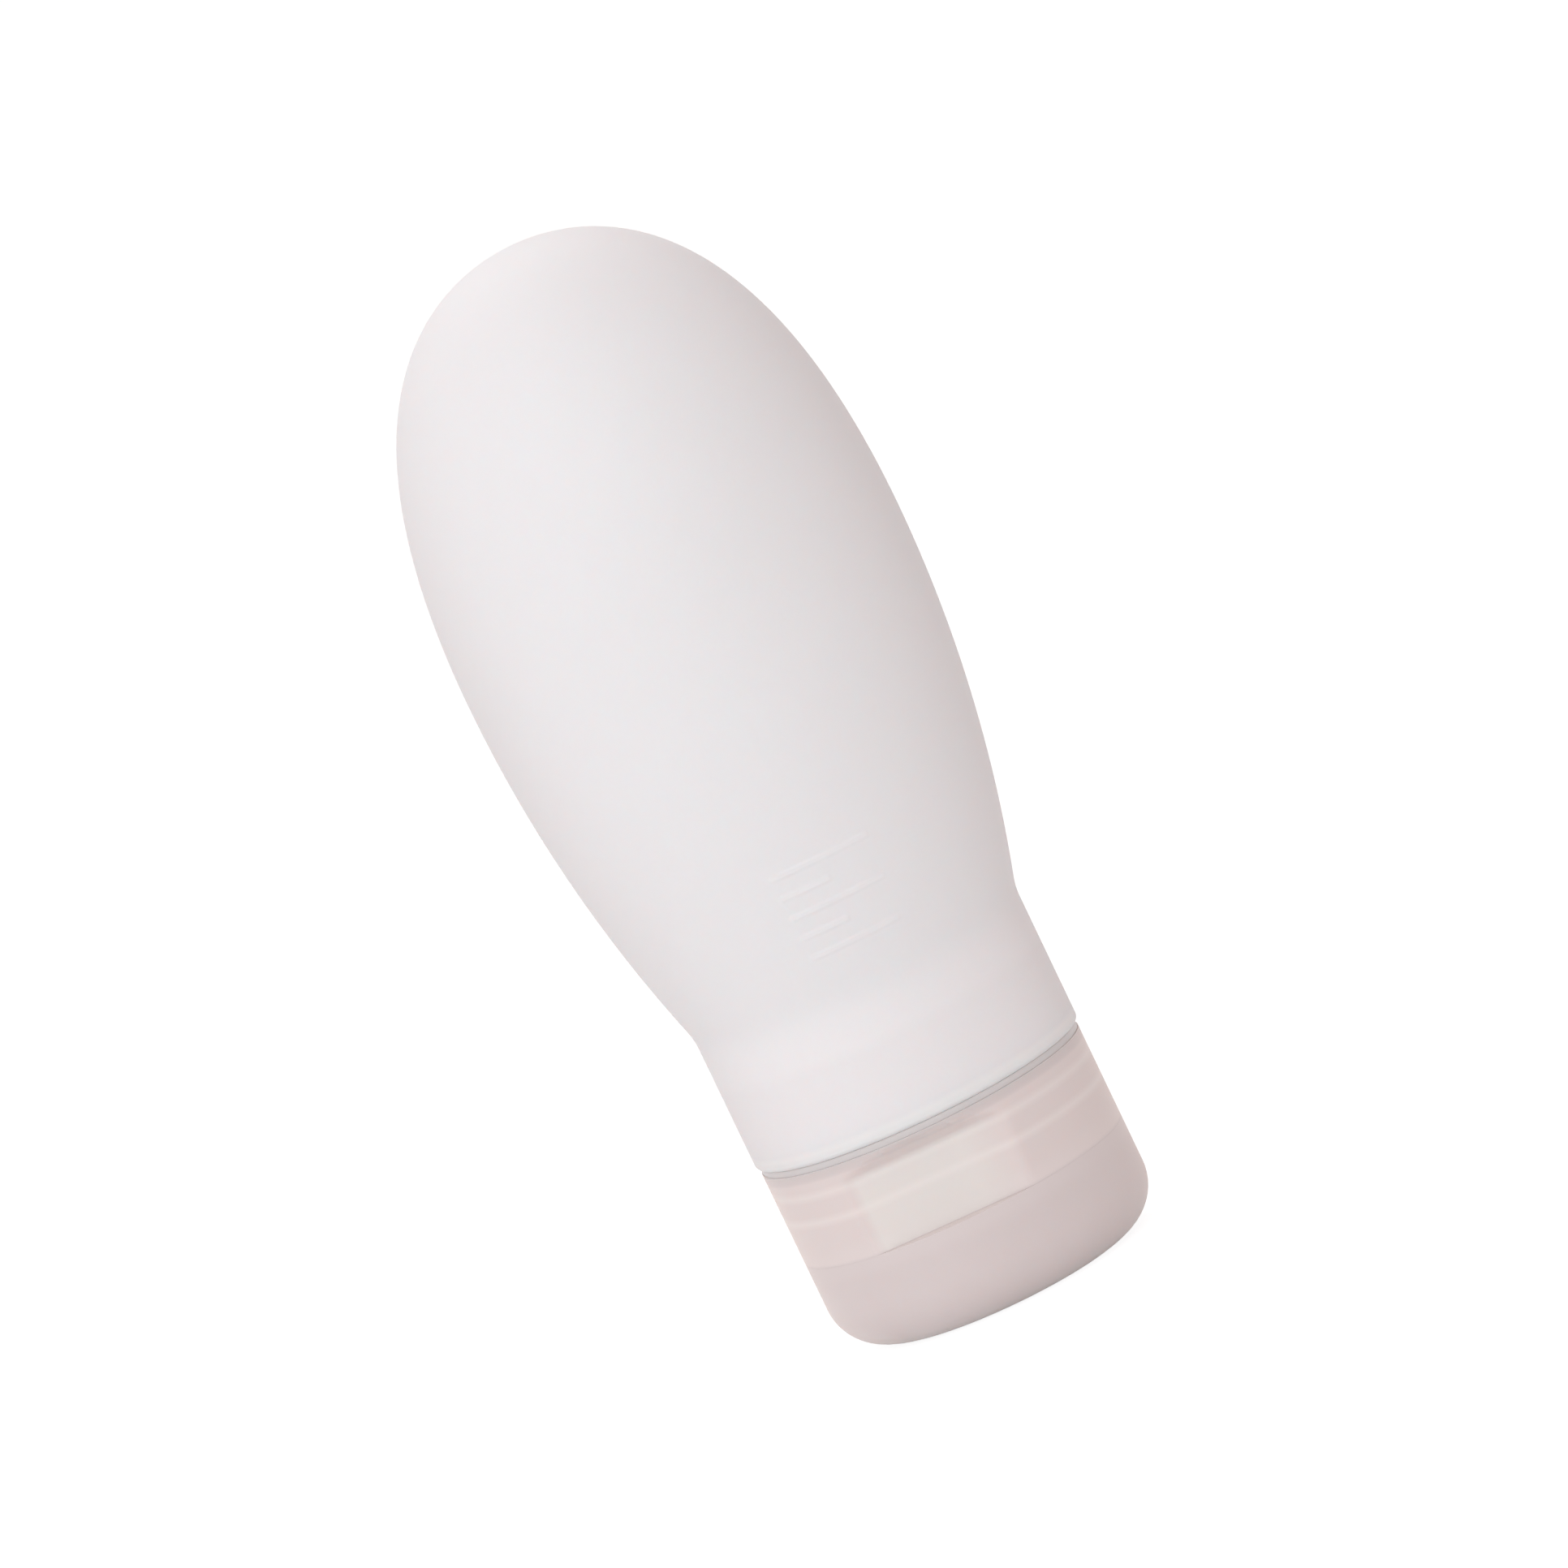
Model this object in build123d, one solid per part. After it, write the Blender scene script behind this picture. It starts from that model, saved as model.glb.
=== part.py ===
# Travel silicone squeeze bottle that stands on its flip lid.
# Millimetres, +Z up along the bottle's axis, origin in the middle of the lid's flat end.
# The thumb recess of the cap faces -Y and the lid's hinge is at +Y.

import os
from math import cos, pi, radians, sin, sqrt, tan

from build123d import *

os.makedirs("parts", exist_ok=True)

# Squeeze body, lengths along the axis from the seam with the cap up to the rounded tip
skirt_length = 13.2
flank_length = 36.0
dome_length = 35.8
widest_radius = 21.3
body_wall = 1.8
neck_wall = 2.6
waist_blend_radius = 7.0
skirt_lip_radius = 0.3
# How far the dome's curve runs on flat from the tip and upright from the widest ring
dome_tip_fullness_share = 0.300
dome_side_fullness_share = 0.900

# Neck finish and cap skirts, from the mouth outwards
mouth_radius = 10.4
finish_wall = 1.5
thread_space = 0.85
inner_skirt_wall = 1.0
skirt_gap = 0.8
outer_skirt_wall = 1.2
# Steps from the cap's side in to the collar's flange and out to the silicone
flange_recess = 0.1
silicone_step = 0.25

# Neck collar
flange_thickness = 0.6
barrel_wall = 1.5
barrel_length = 9.0
barb_count = 3
barb_height = 0.6
barb_land = 0.3
barb_length = 1.6
barb_pitch = 2.3
key_count = 6
key_width = 1.8
key_height = 0.6
key_length = 1.3

# Cap heights and gaps
lid_height = 9.5
parting_gap = 0.1
base_height = 8.93
collar_gap = 0.12
spigot_depth = 1.25
spigot_gap = 0.4
deck_thickness = 1.4
web_thickness = 1.3
inner_skirt_relief = 0.5
cap_edge_radius = 0.15

# Thumb recess: a flat as wide as this chord at the lid, leaning in towards its top
recess_width = 15.1
recess_height = 7.45
recess_lean_angle = 2.0
recess_top_angle = 30.0
recess_corner_radius = 1.2

# Sealing ring on the cap's deck
gasket_thickness = 1.0
gasket_width = 3.2
gasket_side_gap = 0.25

# Nozzle with its valve and retainer
nozzle_height = 2.2
nozzle_wall = 1.2
nozzle_lip_radius = 0.35
orifice_radius = 3.4
valve_seat_width = 1.2
valve_side_gap = 0.05
valve_flange_thickness = 1.0
valve_flange_width = 1.35
valve_depth = 0.95
valve_skin = 0.6
slit_length = 3.2
slit_width = 0.2
retainer_height = 1.1
retainer_width = 1.5
retainer_bead = 0.15
retainer_bead_height = 0.4

# Flip lid
lid_wall = 1.6
lid_floor = 1.4
lid_corner_radius = 4.9
boss_root_radius = 2.6
boss_tip_radius = 2.0
boss_valve_gap = 0.6
boss_edge_radius = 0.6

# Hinge at the back of the cap
pin_radius = 0.75
pin_chamfer = 0.15
pin_running_gap = 0.05
knuckle_wall = 0.75
knuckle_relief = 0.25
knuckle_side_gap = 0.3
lid_knuckle_length = 6.2
ear_length = 2.0
hinge_stand_out = 0.65
ear_rise = 3.2
lug_drop = 3.0
hinge_root_depth = 0.7

# Room that a cutting shape runs past what it cuts
overrun = 1.0

# Heights, from the flat end of the lid up to the tip
lid_top = lid_height
base_low = lid_top + parting_gap
base_high = base_low + base_height
flange_low = base_high + collar_gap
seam = flange_low + flange_thickness
waist = seam + skirt_length
widest = waist + flank_length
tip = widest + dome_length
deck_low = base_low - spigot_depth
deck_high = deck_low + deck_thickness
finish_low = deck_high + gasket_thickness
nozzle_low = deck_low - nozzle_height
valve_low = deck_low - valve_flange_thickness
retainer_low = valve_low - retainer_height
valve_crown_low = valve_low + valve_depth
web_high = base_low + web_thickness
inner_skirt_high = base_high - inner_skirt_relief
recess_high = base_low + recess_height
hinge_height = lid_top + parting_gap / 2

# Radii, from the mouth outwards
finish_radius = mouth_radius + finish_wall
inner_skirt_bore = finish_radius + thread_space
inner_skirt_radius = inner_skirt_bore + inner_skirt_wall
outer_skirt_bore = inner_skirt_radius + skirt_gap
cap_radius = outer_skirt_bore + outer_skirt_wall
flange_radius = cap_radius - flange_recess
skirt_radius = cap_radius + silicone_step
barrel_radius = skirt_radius - neck_wall
barrel_bore = barrel_radius - barrel_wall
lid_bore = cap_radius - lid_wall
spigot_radius = lid_bore - spigot_gap
valve_seat_radius = orifice_radius + valve_seat_width
nozzle_radius = valve_seat_radius + nozzle_wall
valve_radius = valve_seat_radius - valve_side_gap
knuckle_radius = pin_radius + knuckle_wall
hinge_back = cap_radius + hinge_stand_out
hinge_half_width = lid_knuckle_length / 2 + knuckle_side_gap + ear_length
recess_face = sqrt(cap_radius**2 - (recess_width / 2) ** 2)


def turned(*edges):
    """Solid of revolution from a closed outline drawn as radius and height."""
    return revolve(Plane.XZ * make_face(edges), Axis.Z)


def turned_polygon(*corners):
    """Solid of revolution from a straight-sided outline."""
    return turned(*Polyline(*corners, close=True).edges())


def ring(inner, outer, low, high):
    """Flat-ended tube."""
    return turned_polygon((inner, low), (outer, low), (outer, high), (inner, high))


def rim(solid, radius, height):
    """Circular edges of a solid at one radius and height."""
    close = body_wall / 1000
    return [
        edge
        for edge in solid.edges().filter_by(GeomType.CIRCLE)
        if abs(edge.radius - radius) < close and abs(edge.arc_center.Z - height) < close
    ]


def slab(low, high):
    """Box between two corners."""
    size = [b - a for a, b in zip(low, high)]
    middle = [(a + b) / 2 for a, b in zip(low, high)]
    return Pos(*middle) * Box(*size)


def dome(radius, foot, crown):
    """Curve from the axis at the crown out to an upright tangent at the foot."""
    rise = crown - foot
    return Bezier(
        (0, crown),
        (radius * dome_tip_fullness_share, crown),
        (radius, foot + rise * dome_side_fullness_share),
        (radius, foot),
    )


def flank_circle():
    """Radius of the flank's arc and how far its centre lies from the axis: the arc is upright at the widest ring
    and runs through the top of the skirt."""
    drawn_in = widest_radius - skirt_radius
    radius = (flank_length**2 + drawn_in**2) / (2 * drawn_in)
    return radius, widest_radius - radius


def waist_blend():
    """Ends of the arc that rounds the waist: on the flank and on the skirt."""
    flank_radius, centre = flank_circle()
    reach = flank_radius + waist_blend_radius
    across = skirt_radius + waist_blend_radius - centre
    height = widest - sqrt(reach**2 - across**2)
    share = flank_radius / reach
    on_flank = (centre + share * across, widest - share * (widest - height))
    return on_flank, (skirt_radius, height)


def neck_shelf():
    """Height at which the inside of the flank has drawn in to the barrel of the collar."""
    flank_radius, centre = flank_circle()
    inside_radius = flank_radius - body_wall
    return widest - sqrt(inside_radius**2 - (barrel_radius - centre) ** 2)


def make_silicone_body(collar):
    """Hollow body: dome, flank arc, waist and straight skirt, with the collar's form pressed into its bore."""
    inside = widest_radius - body_wall
    outer_dome = dome(widest_radius, widest, tip)
    on_flank, on_skirt = waist_blend()
    outer_flank = TangentArc((widest_radius, widest), on_flank, tangent=(0, -1))
    waist_arc = TangentArc(on_skirt, on_flank, tangent=(0, 1))
    bore = Polyline(on_skirt, (skirt_radius, seam), (barrel_radius, seam), (barrel_radius, neck_shelf()))
    inner_flank = TangentArc((inside, widest), (barrel_radius, neck_shelf()), tangent=(0, -1))
    inner_dome = dome(inside, widest, tip - body_wall)
    axis_line = Line((0, tip - body_wall), (0, tip))
    body = turned(outer_dome, outer_flank, waist_arc, *bore.edges(), inner_flank, inner_dome, axis_line)
    body = fillet(rim(body, skirt_radius, seam), skirt_lip_radius)
    return body - collar


def barb(low):
    """One barb ring: square below, where it grips, and sloped above, where the silicone slides on."""
    return turned_polygon(
        (barrel_radius - barrel_wall / 2, low),
        (barrel_radius + barb_height, low),
        (barrel_radius + barb_height, low + barb_land),
        (barrel_radius, low + barb_length),
        (barrel_radius - barrel_wall / 2, low + barb_length),
    )


def make_neck_collar():
    """Barbed barrel above, flange between skirt and cap, and the neck finish below."""
    barrel_high = seam + barrel_length
    collar = turned_polygon(
        (mouth_radius, finish_low),
        (finish_radius, finish_low),
        (finish_radius, flange_low),
        (flange_radius, flange_low),
        (flange_radius, seam),
        (barrel_radius, seam),
        (barrel_radius, barrel_high - barb_land),
        (barrel_radius - barb_land, barrel_high),
        (barrel_bore, barrel_high),
        (barrel_bore, seam),
        (mouth_radius, flange_low),
    )
    for index in range(barb_count):
        collar += barb(seam + key_length + barb_land + index * barb_pitch)
    key = slab(
        (barrel_radius - barrel_wall / 2, -key_width / 2, flange_low + flange_thickness / 2),
        (barrel_radius + key_height, key_width / 2, seam + key_length),
    )
    for index in range(key_count):
        collar += Rot(0, 0, 360 * index / key_count) * key
    return collar


def make_neck_gasket():
    """Flat ring that seals the end of the neck finish against the cap's deck."""
    outer = inner_skirt_bore - gasket_side_gap
    return ring(outer - gasket_width, outer, deck_high, finish_low)


def hinge_prism(profile, start, length):
    """Profile drawn as Y and Z, drawn out along X."""
    return extrude(Plane.YZ.offset(start) * profile, length)


def knuckle_web(low, high, start, length):
    """Knuckle round the hinge axis with a web to a root in the cap's wall between two heights."""
    barrel = Pos(hinge_back, hinge_height) * Circle(knuckle_radius)
    root_back = cap_radius - hinge_root_depth
    root = Pos(root_back, (low + high) / 2) * Rectangle(hinge_root_depth, high - low)
    return hinge_prism(make_hull(barrel.edges() + root.edges()), start, length)


def hinge_cylinder(radius, start, length):
    """Round bar on the hinge axis."""
    return hinge_prism(Pos(hinge_back, hinge_height) * Circle(radius), start, length)


def knuckle_relief_cut(start, length):
    """Room round the other piece's knuckle."""
    return hinge_cylinder(knuckle_radius + knuckle_relief, start - knuckle_side_gap, length + 2 * knuckle_side_gap)


def recess_cutter():
    """Flat that leans in towards its top, with a rounded corner under a sloped upper end."""
    outside = cap_radius + overrun
    lean_in = recess_height * tan(radians(recess_lean_angle))
    top_rise = (outside - recess_face + lean_in) * tan(radians(recess_top_angle))
    outline = Polyline(
        (-outside, base_low - overrun),
        (-recess_face, base_low - overrun),
        (-recess_face + lean_in, recess_high),
        (-outside, recess_high + top_rise),
        close=True,
    )
    profile = make_face(outline.edges())
    corner = profile.vertices().sort_by(Axis.Y)[-2]
    profile = fillet(corner, recess_corner_radius)
    return extrude(Plane.YZ.offset(-cap_radius) * profile, 2 * cap_radius)


def make_cap_base(retainer):
    """Screw cap: deck, nozzle, threaded inner skirt, outer skirt, thumb recess and hinge ears."""
    cap = turned_polygon(
        (orifice_radius, deck_high),
        (inner_skirt_bore, deck_high),
        (inner_skirt_bore, inner_skirt_high),
        (inner_skirt_radius, inner_skirt_high),
        (inner_skirt_radius, web_high),
        (outer_skirt_bore, web_high),
        (outer_skirt_bore, base_high),
        (cap_radius, base_high),
        (cap_radius, base_low),
        (spigot_radius, base_low),
        (spigot_radius, deck_low),
        (nozzle_radius, deck_low),
        (nozzle_radius, nozzle_low),
        (valve_seat_radius, nozzle_low),
        (valve_seat_radius, deck_low),
        (orifice_radius, deck_low),
    )
    cap = fillet(rim(cap, cap_radius, base_high) + rim(cap, cap_radius, base_low), cap_edge_radius)
    cap = fillet(rim(cap, nozzle_radius, nozzle_low), nozzle_lip_radius)

    # The gap between the skirts is filled behind the recess and behind the hinge
    gap = ring(inner_skirt_radius, outer_skirt_bore, web_high, inner_skirt_high)
    behind_recess = slab(
        (-recess_width / 2, -cap_radius, web_high),
        (recess_width / 2, 0, min(recess_high + outer_skirt_wall, inner_skirt_high)),
    )
    behind_hinge = slab(
        (-hinge_half_width - outer_skirt_wall, 0, web_high),
        (hinge_half_width + outer_skirt_wall, cap_radius, inner_skirt_high),
    )
    cap += gap & behind_recess
    cap += gap & behind_hinge
    cap -= recess_cutter()

    ear_start = lid_knuckle_length / 2 + knuckle_side_gap
    cap -= knuckle_relief_cut(-lid_knuckle_length / 2, lid_knuckle_length)
    for start in (ear_start, -ear_start - ear_length):
        cap += knuckle_web(base_low, base_low + ear_rise, start, ear_length)
    cap -= hinge_cylinder(pin_radius, -hinge_half_width, 2 * hinge_half_width)
    return cap - retainer


def make_drip_valve():
    """Soft valve: clamped flange, hollow crown and a cross slit."""
    inner = valve_radius - valve_flange_width
    crown_high = valve_crown_low + valve_skin
    outer_foot = orifice_radius - valve_side_gap
    under = ThreePointArc((inner, valve_low), (inner * sin(pi / 4), valve_low + valve_depth * cos(pi / 4)), (0, valve_crown_low))
    over = ThreePointArc(
        (0, crown_high),
        (outer_foot * sin(pi / 4), deck_low + (crown_high - deck_low) * cos(pi / 4)),
        (outer_foot, deck_low),
    )
    sides = Polyline((outer_foot, deck_low), (valve_radius, deck_low), (valve_radius, valve_low), (inner, valve_low))
    axis_line = Line((0, valve_crown_low), (0, crown_high))
    valve = turned(under, axis_line, over, *sides.edges())
    for size in ((slit_length, slit_width), (slit_width, slit_length)):
        half_x, half_y = (side / 2 for side in size)
        valve -= slab((-half_x, -half_y, valve_low - overrun), (half_x, half_y, crown_high + overrun))
    return valve


def make_valve_retainer():
    """Ring pressed into the nozzle under the valve, with a bead that snaps into the nozzle's wall."""
    middle = (retainer_low + valve_low) / 2
    inner = valve_seat_radius - retainer_width
    return turned_polygon(
        (inner, retainer_low),
        (valve_seat_radius, retainer_low),
        (valve_seat_radius, middle - retainer_bead_height / 2),
        (valve_seat_radius + retainer_bead, middle),
        (valve_seat_radius, middle + retainer_bead_height / 2),
        (valve_seat_radius, valve_low),
        (inner, valve_low),
    )


def make_flip_lid():
    """Cup with a round corner and a flat end, the boss that closes the valve and the middle knuckle."""
    inner_corner = lid_corner_radius - lid_wall
    boss_high = valve_crown_low - boss_valve_gap
    outer_arc = JernArc((cap_radius - lid_corner_radius, 0), (1, 0), lid_corner_radius, 90)
    inner_arc = JernArc((lid_bore - inner_corner, lid_floor), (1, 0), inner_corner, 90)
    wall = Polyline(outer_arc @ 1, (cap_radius, lid_top), (lid_bore, lid_top), inner_arc @ 1)
    boss = Polyline(inner_arc @ 0, (boss_root_radius, lid_floor), (boss_tip_radius, boss_high), (0, boss_high))
    end = Polyline((0, boss_high), (0, 0), outer_arc @ 0)
    lid = turned(outer_arc, *wall.edges(), inner_arc, *boss.edges(), *end.edges())
    lid = fillet(rim(lid, cap_radius, lid_top), cap_edge_radius)
    lid = fillet(rim(lid, boss_tip_radius, boss_high), boss_edge_radius)

    ear_start = lid_knuckle_length / 2 + knuckle_side_gap
    for start in (ear_start, -ear_start - ear_length):
        lid -= knuckle_relief_cut(start, ear_length)
    lid += knuckle_web(lid_top - lug_drop, lid_top, -lid_knuckle_length / 2, lid_knuckle_length)
    lid -= hinge_cylinder(pin_radius + pin_running_gap, -lid_knuckle_length / 2, lid_knuckle_length)
    return lid


def make_hinge_pin():
    """Pin through the ears and the lid's knuckle."""
    pin = hinge_cylinder(pin_radius, -hinge_half_width, 2 * hinge_half_width)
    ends = pin.edges().filter_by(GeomType.CIRCLE)
    return chamfer(ends, pin_chamfer)


neck_collar = make_neck_collar()
valve_retainer = make_valve_retainer()
parts = {
    "silicone_body": make_silicone_body(neck_collar),
    "neck_collar": neck_collar,
    "neck_gasket": make_neck_gasket(),
    "cap_base": make_cap_base(valve_retainer),
    "drip_valve": make_drip_valve(),
    "valve_retainer": valve_retainer,
    "flip_lid": make_flip_lid(),
    "hinge_pin": make_hinge_pin(),
}

for name, solid in parts.items():
    export_step(solid, f"parts/{name}.step")
    print(name, "volume", round(solid.volume, 2), "solids", len(solid.solids()))
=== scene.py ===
"""Travel squeeze bottle in soft silicone: surfaces, finishes and studio round the packed frame."""

import math

import bpy
import numpy as np
from mathutils import Matrix, Vector


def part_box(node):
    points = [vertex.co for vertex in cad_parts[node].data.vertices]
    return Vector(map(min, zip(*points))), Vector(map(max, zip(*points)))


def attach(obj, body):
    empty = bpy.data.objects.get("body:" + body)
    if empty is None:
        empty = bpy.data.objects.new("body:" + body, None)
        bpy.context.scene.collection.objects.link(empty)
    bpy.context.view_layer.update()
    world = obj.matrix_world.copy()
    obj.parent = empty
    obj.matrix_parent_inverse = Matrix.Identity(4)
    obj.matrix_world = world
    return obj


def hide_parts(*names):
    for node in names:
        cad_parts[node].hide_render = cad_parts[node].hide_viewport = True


bl_info = {
    "name": "Silicone squeeze bottle",
    "version": (1, 0, 0),
    "blender": (4, 5, 0),
    "location": "3D View > Sidebar > Bottle",
    "description": "Builds a soft squeeze bottle with a collar, screw cap, flip lid, finishes and studio",
    "category": "Object",
}

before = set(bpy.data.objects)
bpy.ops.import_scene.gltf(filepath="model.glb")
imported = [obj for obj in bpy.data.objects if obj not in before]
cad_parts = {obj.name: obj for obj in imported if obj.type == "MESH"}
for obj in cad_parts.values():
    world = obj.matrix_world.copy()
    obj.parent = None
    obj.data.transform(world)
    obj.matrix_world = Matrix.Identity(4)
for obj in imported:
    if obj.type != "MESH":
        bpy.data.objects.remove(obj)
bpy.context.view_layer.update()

# Places that the frame gives
SEAM_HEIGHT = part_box("silicone_body")[0].z
TIP_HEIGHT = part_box("silicone_body")[1].z
WIDEST_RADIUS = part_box("silicone_body")[1].x
FLANGE_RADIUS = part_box("neck_collar")[1].x
FINISH_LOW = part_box("neck_collar")[0].z
BARREL_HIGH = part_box("neck_collar")[1].z
GASKET_LOW, GASKET_HIGH = (corner.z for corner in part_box("neck_gasket"))
GASKET_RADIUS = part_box("neck_gasket")[1].x
CAP_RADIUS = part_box("cap_base")[1].x
NOZZLE_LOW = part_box("cap_base")[0].z
BASE_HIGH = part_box("cap_base")[1].z
RETAINER_LOW, RETAINER_HIGH = (corner.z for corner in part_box("valve_retainer"))
BEAD_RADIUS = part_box("valve_retainer")[1].x
PIN_LOW, PIN_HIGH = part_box("hinge_pin")
HINGE_BACK = (PIN_LOW.y + PIN_HIGH.y) / 2
HINGE_HEIGHT = (PIN_LOW.z + PIN_HIGH.z) / 2
PIN_RADIUS = (PIN_HIGH.z - PIN_LOW.z) / 2
HINGE_HALF_WIDTH = PIN_HIGH.x

FULL_TURN = 2 * math.pi
# Distance from a rounding to the row that keeps its shading off the flat beside it
SHADING_STEP = 0.00005
# How far the floor lies below the lid, so that no faces coincide
FLOOR_DROP = 0.00005
# Angle between faces from which an edge is drawn sharp
SHARP_ANGLE = math.radians(50)
# For each piece, the columns round it and the longest step along its outline
MESH = {
    "squeeze_body": (168, 0.0008),
    "neck_collar_ring": (200, 0.001),
    "sealing_ring": (160, 0.0005),
    "screw_cap": (150, 0.0004),
    "snap_ring": (120, 0.0004),
    "lid_cup": (190, 0.0004),
    "lid_pin": (48, 0.0005),
}
KNUCKLE_COLUMNS = 96
THREAD_COLUMNS = 140
# Step between columns, in radians, beside recess and hinge and across the fill marks, and between their rows
FINE_TURN = 0.010
TICK_TURN = 0.0085
TICK_STEP = 0.00011
# How far beyond the fill marks the finer rows and columns run, in metres and radians
TICK_MARGIN = 0.0005
TICK_MARGIN_TURN = 0.03
# Half width, in radians, of the finer columns at the cap's recess and hinge and at the lid's hinge
RECESS_SPAN, HINGE_SPAN, LID_SPAN = 0.62, 0.46, 0.42
# Rows over the body's dome and flank, its waist, and its flank and dome inside
OUTER_ROWS, WAIST_ROWS, INNER_FLANK_ROWS, INNER_DOME_ROWS = 90, 12, 30, 40
# Share of a thread ridge that eases off at each end, how deep it is rooted by its height, and its end's width
THREAD_FADE, THREAD_SINK, THREAD_END = 0.05, 0.12, 0.25
# Where the cap's ridges run between those of the neck, as a share of their spacing
CAP_THREAD_PLACE = 0.46
# How much a wall has to face a flat for the flat to cut it, 1 being straight on
LEAST_FACING = 0.5


def number(name, default, description, **kind):
    """Plain number property."""
    return bpy.props.FloatProperty(name=name, description=description, default=default, **kind)


def length(name, default, description):
    """Length property in metres."""
    return number(name, default, description, unit="LENGTH", precision=5)


def share(name, default, description):
    """Property between nothing and all."""
    return number(name, default, description, min=0, max=1)


def angle(name, degrees, description):
    """Angle property, given in degrees."""
    return number(name, math.radians(degrees), description, subtype="ANGLE")


def colour(name, default, description):
    """Linear colour property."""
    return bpy.props.FloatVectorProperty(
        name=name, description=description, default=default, size=3, subtype="COLOR", min=0, max=1
    )


def whole(name, default, description):
    """Count property."""
    return bpy.props.IntProperty(name=name, description=description, default=default, min=1)


class BodySettings(bpy.types.PropertyGroup):
    """Sizes and colours of the silicone body"""

    skirt_length: length("Skirt length", 0.0132, "Straight neck skirt, from the seam up to the waist")
    flank_length: length("Flank length", 0.036, "From the waist up to the widest ring")
    skirt_radius: length("Skirt radius", 0.016, "Outside of the neck skirt")
    bore_radius: length("Bore radius", 0.0134, "Inside of the neck skirt")
    wall: length("Wall", 0.0018, "Thickness of the squeezed wall")
    waist_blend: length("Waist blend", 0.007, "Radius that rounds the waist")
    lip_round: length("Lip round", 0.0005, "Radius of the skirt's lower edge")
    tip_fullness: share("Tip fullness", 0.300, "How far the dome runs on flat from its tip")
    side_fullness: share("Side fullness", 0.900, "How far the dome runs on upright from the widest ring")
    tick_turn: angle("Tick turn", 10.9, "How far the fill marks stand round from the front")
    tick_height: length("Tick height", 0.04115, "Middle height of the fill marks")
    tick_spacing: length("Tick spacing", 0.00205, "Step from one fill mark to the next")
    tick_count: whole("Tick count", 5, "Number of fill marks")
    tick_long: length("Long tick", 0.0092, "Width of a long fill mark")
    tick_short: length("Short tick", 0.0048, "Width of a short fill mark")
    tick_line: length("Tick line", 0.00055, "Height of one mark's raised line")
    tick_radius: length("Tick radius", 0.01792, "Radius of the body at the fill marks")
    tick_relief: length("Tick relief", 0.0001, "How far a fill mark stands out")
    tint: colour("Tint", (0.905, 0.898, 0.918), "Silicone")
    shade_tint: colour("Shade tint", (0.85, 0.82, 0.825), "Its denser, shaded patches")
    # Painted shade: the neck skirt is painted darker, where the collar behind the wall lets less light
    # through
    neck_shade_tint: colour("Neck tint", (0.87, 0.858, 0.875), "Neck skirt, where the collar backs it")
    # Painted highlight: the skirt's rounded lower edge is painted lighter, where it catches the light
    skirt_edge_highlight_tint: colour("Lip tint", (0.95, 0.925, 0.92), "The skirt's thin lower edge")


class CollarSettings(bpy.types.PropertyGroup):
    """Sizes of the neck collar and the screw thread"""

    mouth_radius: length("Mouth radius", 0.0104, "Bore of the neck finish")
    finish_radius: length("Finish radius", 0.0119, "Outside of the neck finish, without its thread")
    flange_thickness: length("Flange thickness", 0.0006, "Ring between skirt and cap")
    barrel_radius: length("Barrel radius", 0.0134, "Outside of the barrel in the silicone")
    barrel_wall: length("Barrel wall", 0.0015, "Thickness of the barrel")
    barb_height: length("Barb height", 0.0006, "How far a barb bites into the silicone")
    barb_land: length("Barb land", 0.0003, "Upright stretch of a barb's edge")
    barb_length: length("Barb length", 0.0016, "Height of one barb")
    barb_pitch: length("Barb pitch", 0.0023, "Step from barb to barb")
    barb_count: whole("Barb count", 3, "Number of barbs")
    barb_start: length("Barb start", 0.0016, "Height of the first barb above the seam")
    edge: length("Edge", 0.0001, "Radius of the collar's edges")
    thread_lead: length("Thread lead", 0.005, "Climb of the thread in one turn")
    thread_starts: whole("Thread starts", 2, "Number of threads side by side")
    thread_height: length("Thread height", 0.0007, "How far a thread ridge stands out")
    thread_root: length("Thread root", 0.0013, "Width of a ridge at its root")
    thread_crest: length("Thread crest", 0.0006, "Width of a ridge at its crest")
    thread_turns: share("Thread turns", 0.72, "How far round one ridge runs")
    tint: colour("Tint", (0.765, 0.72, 0.71), "Collar plastic")


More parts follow.
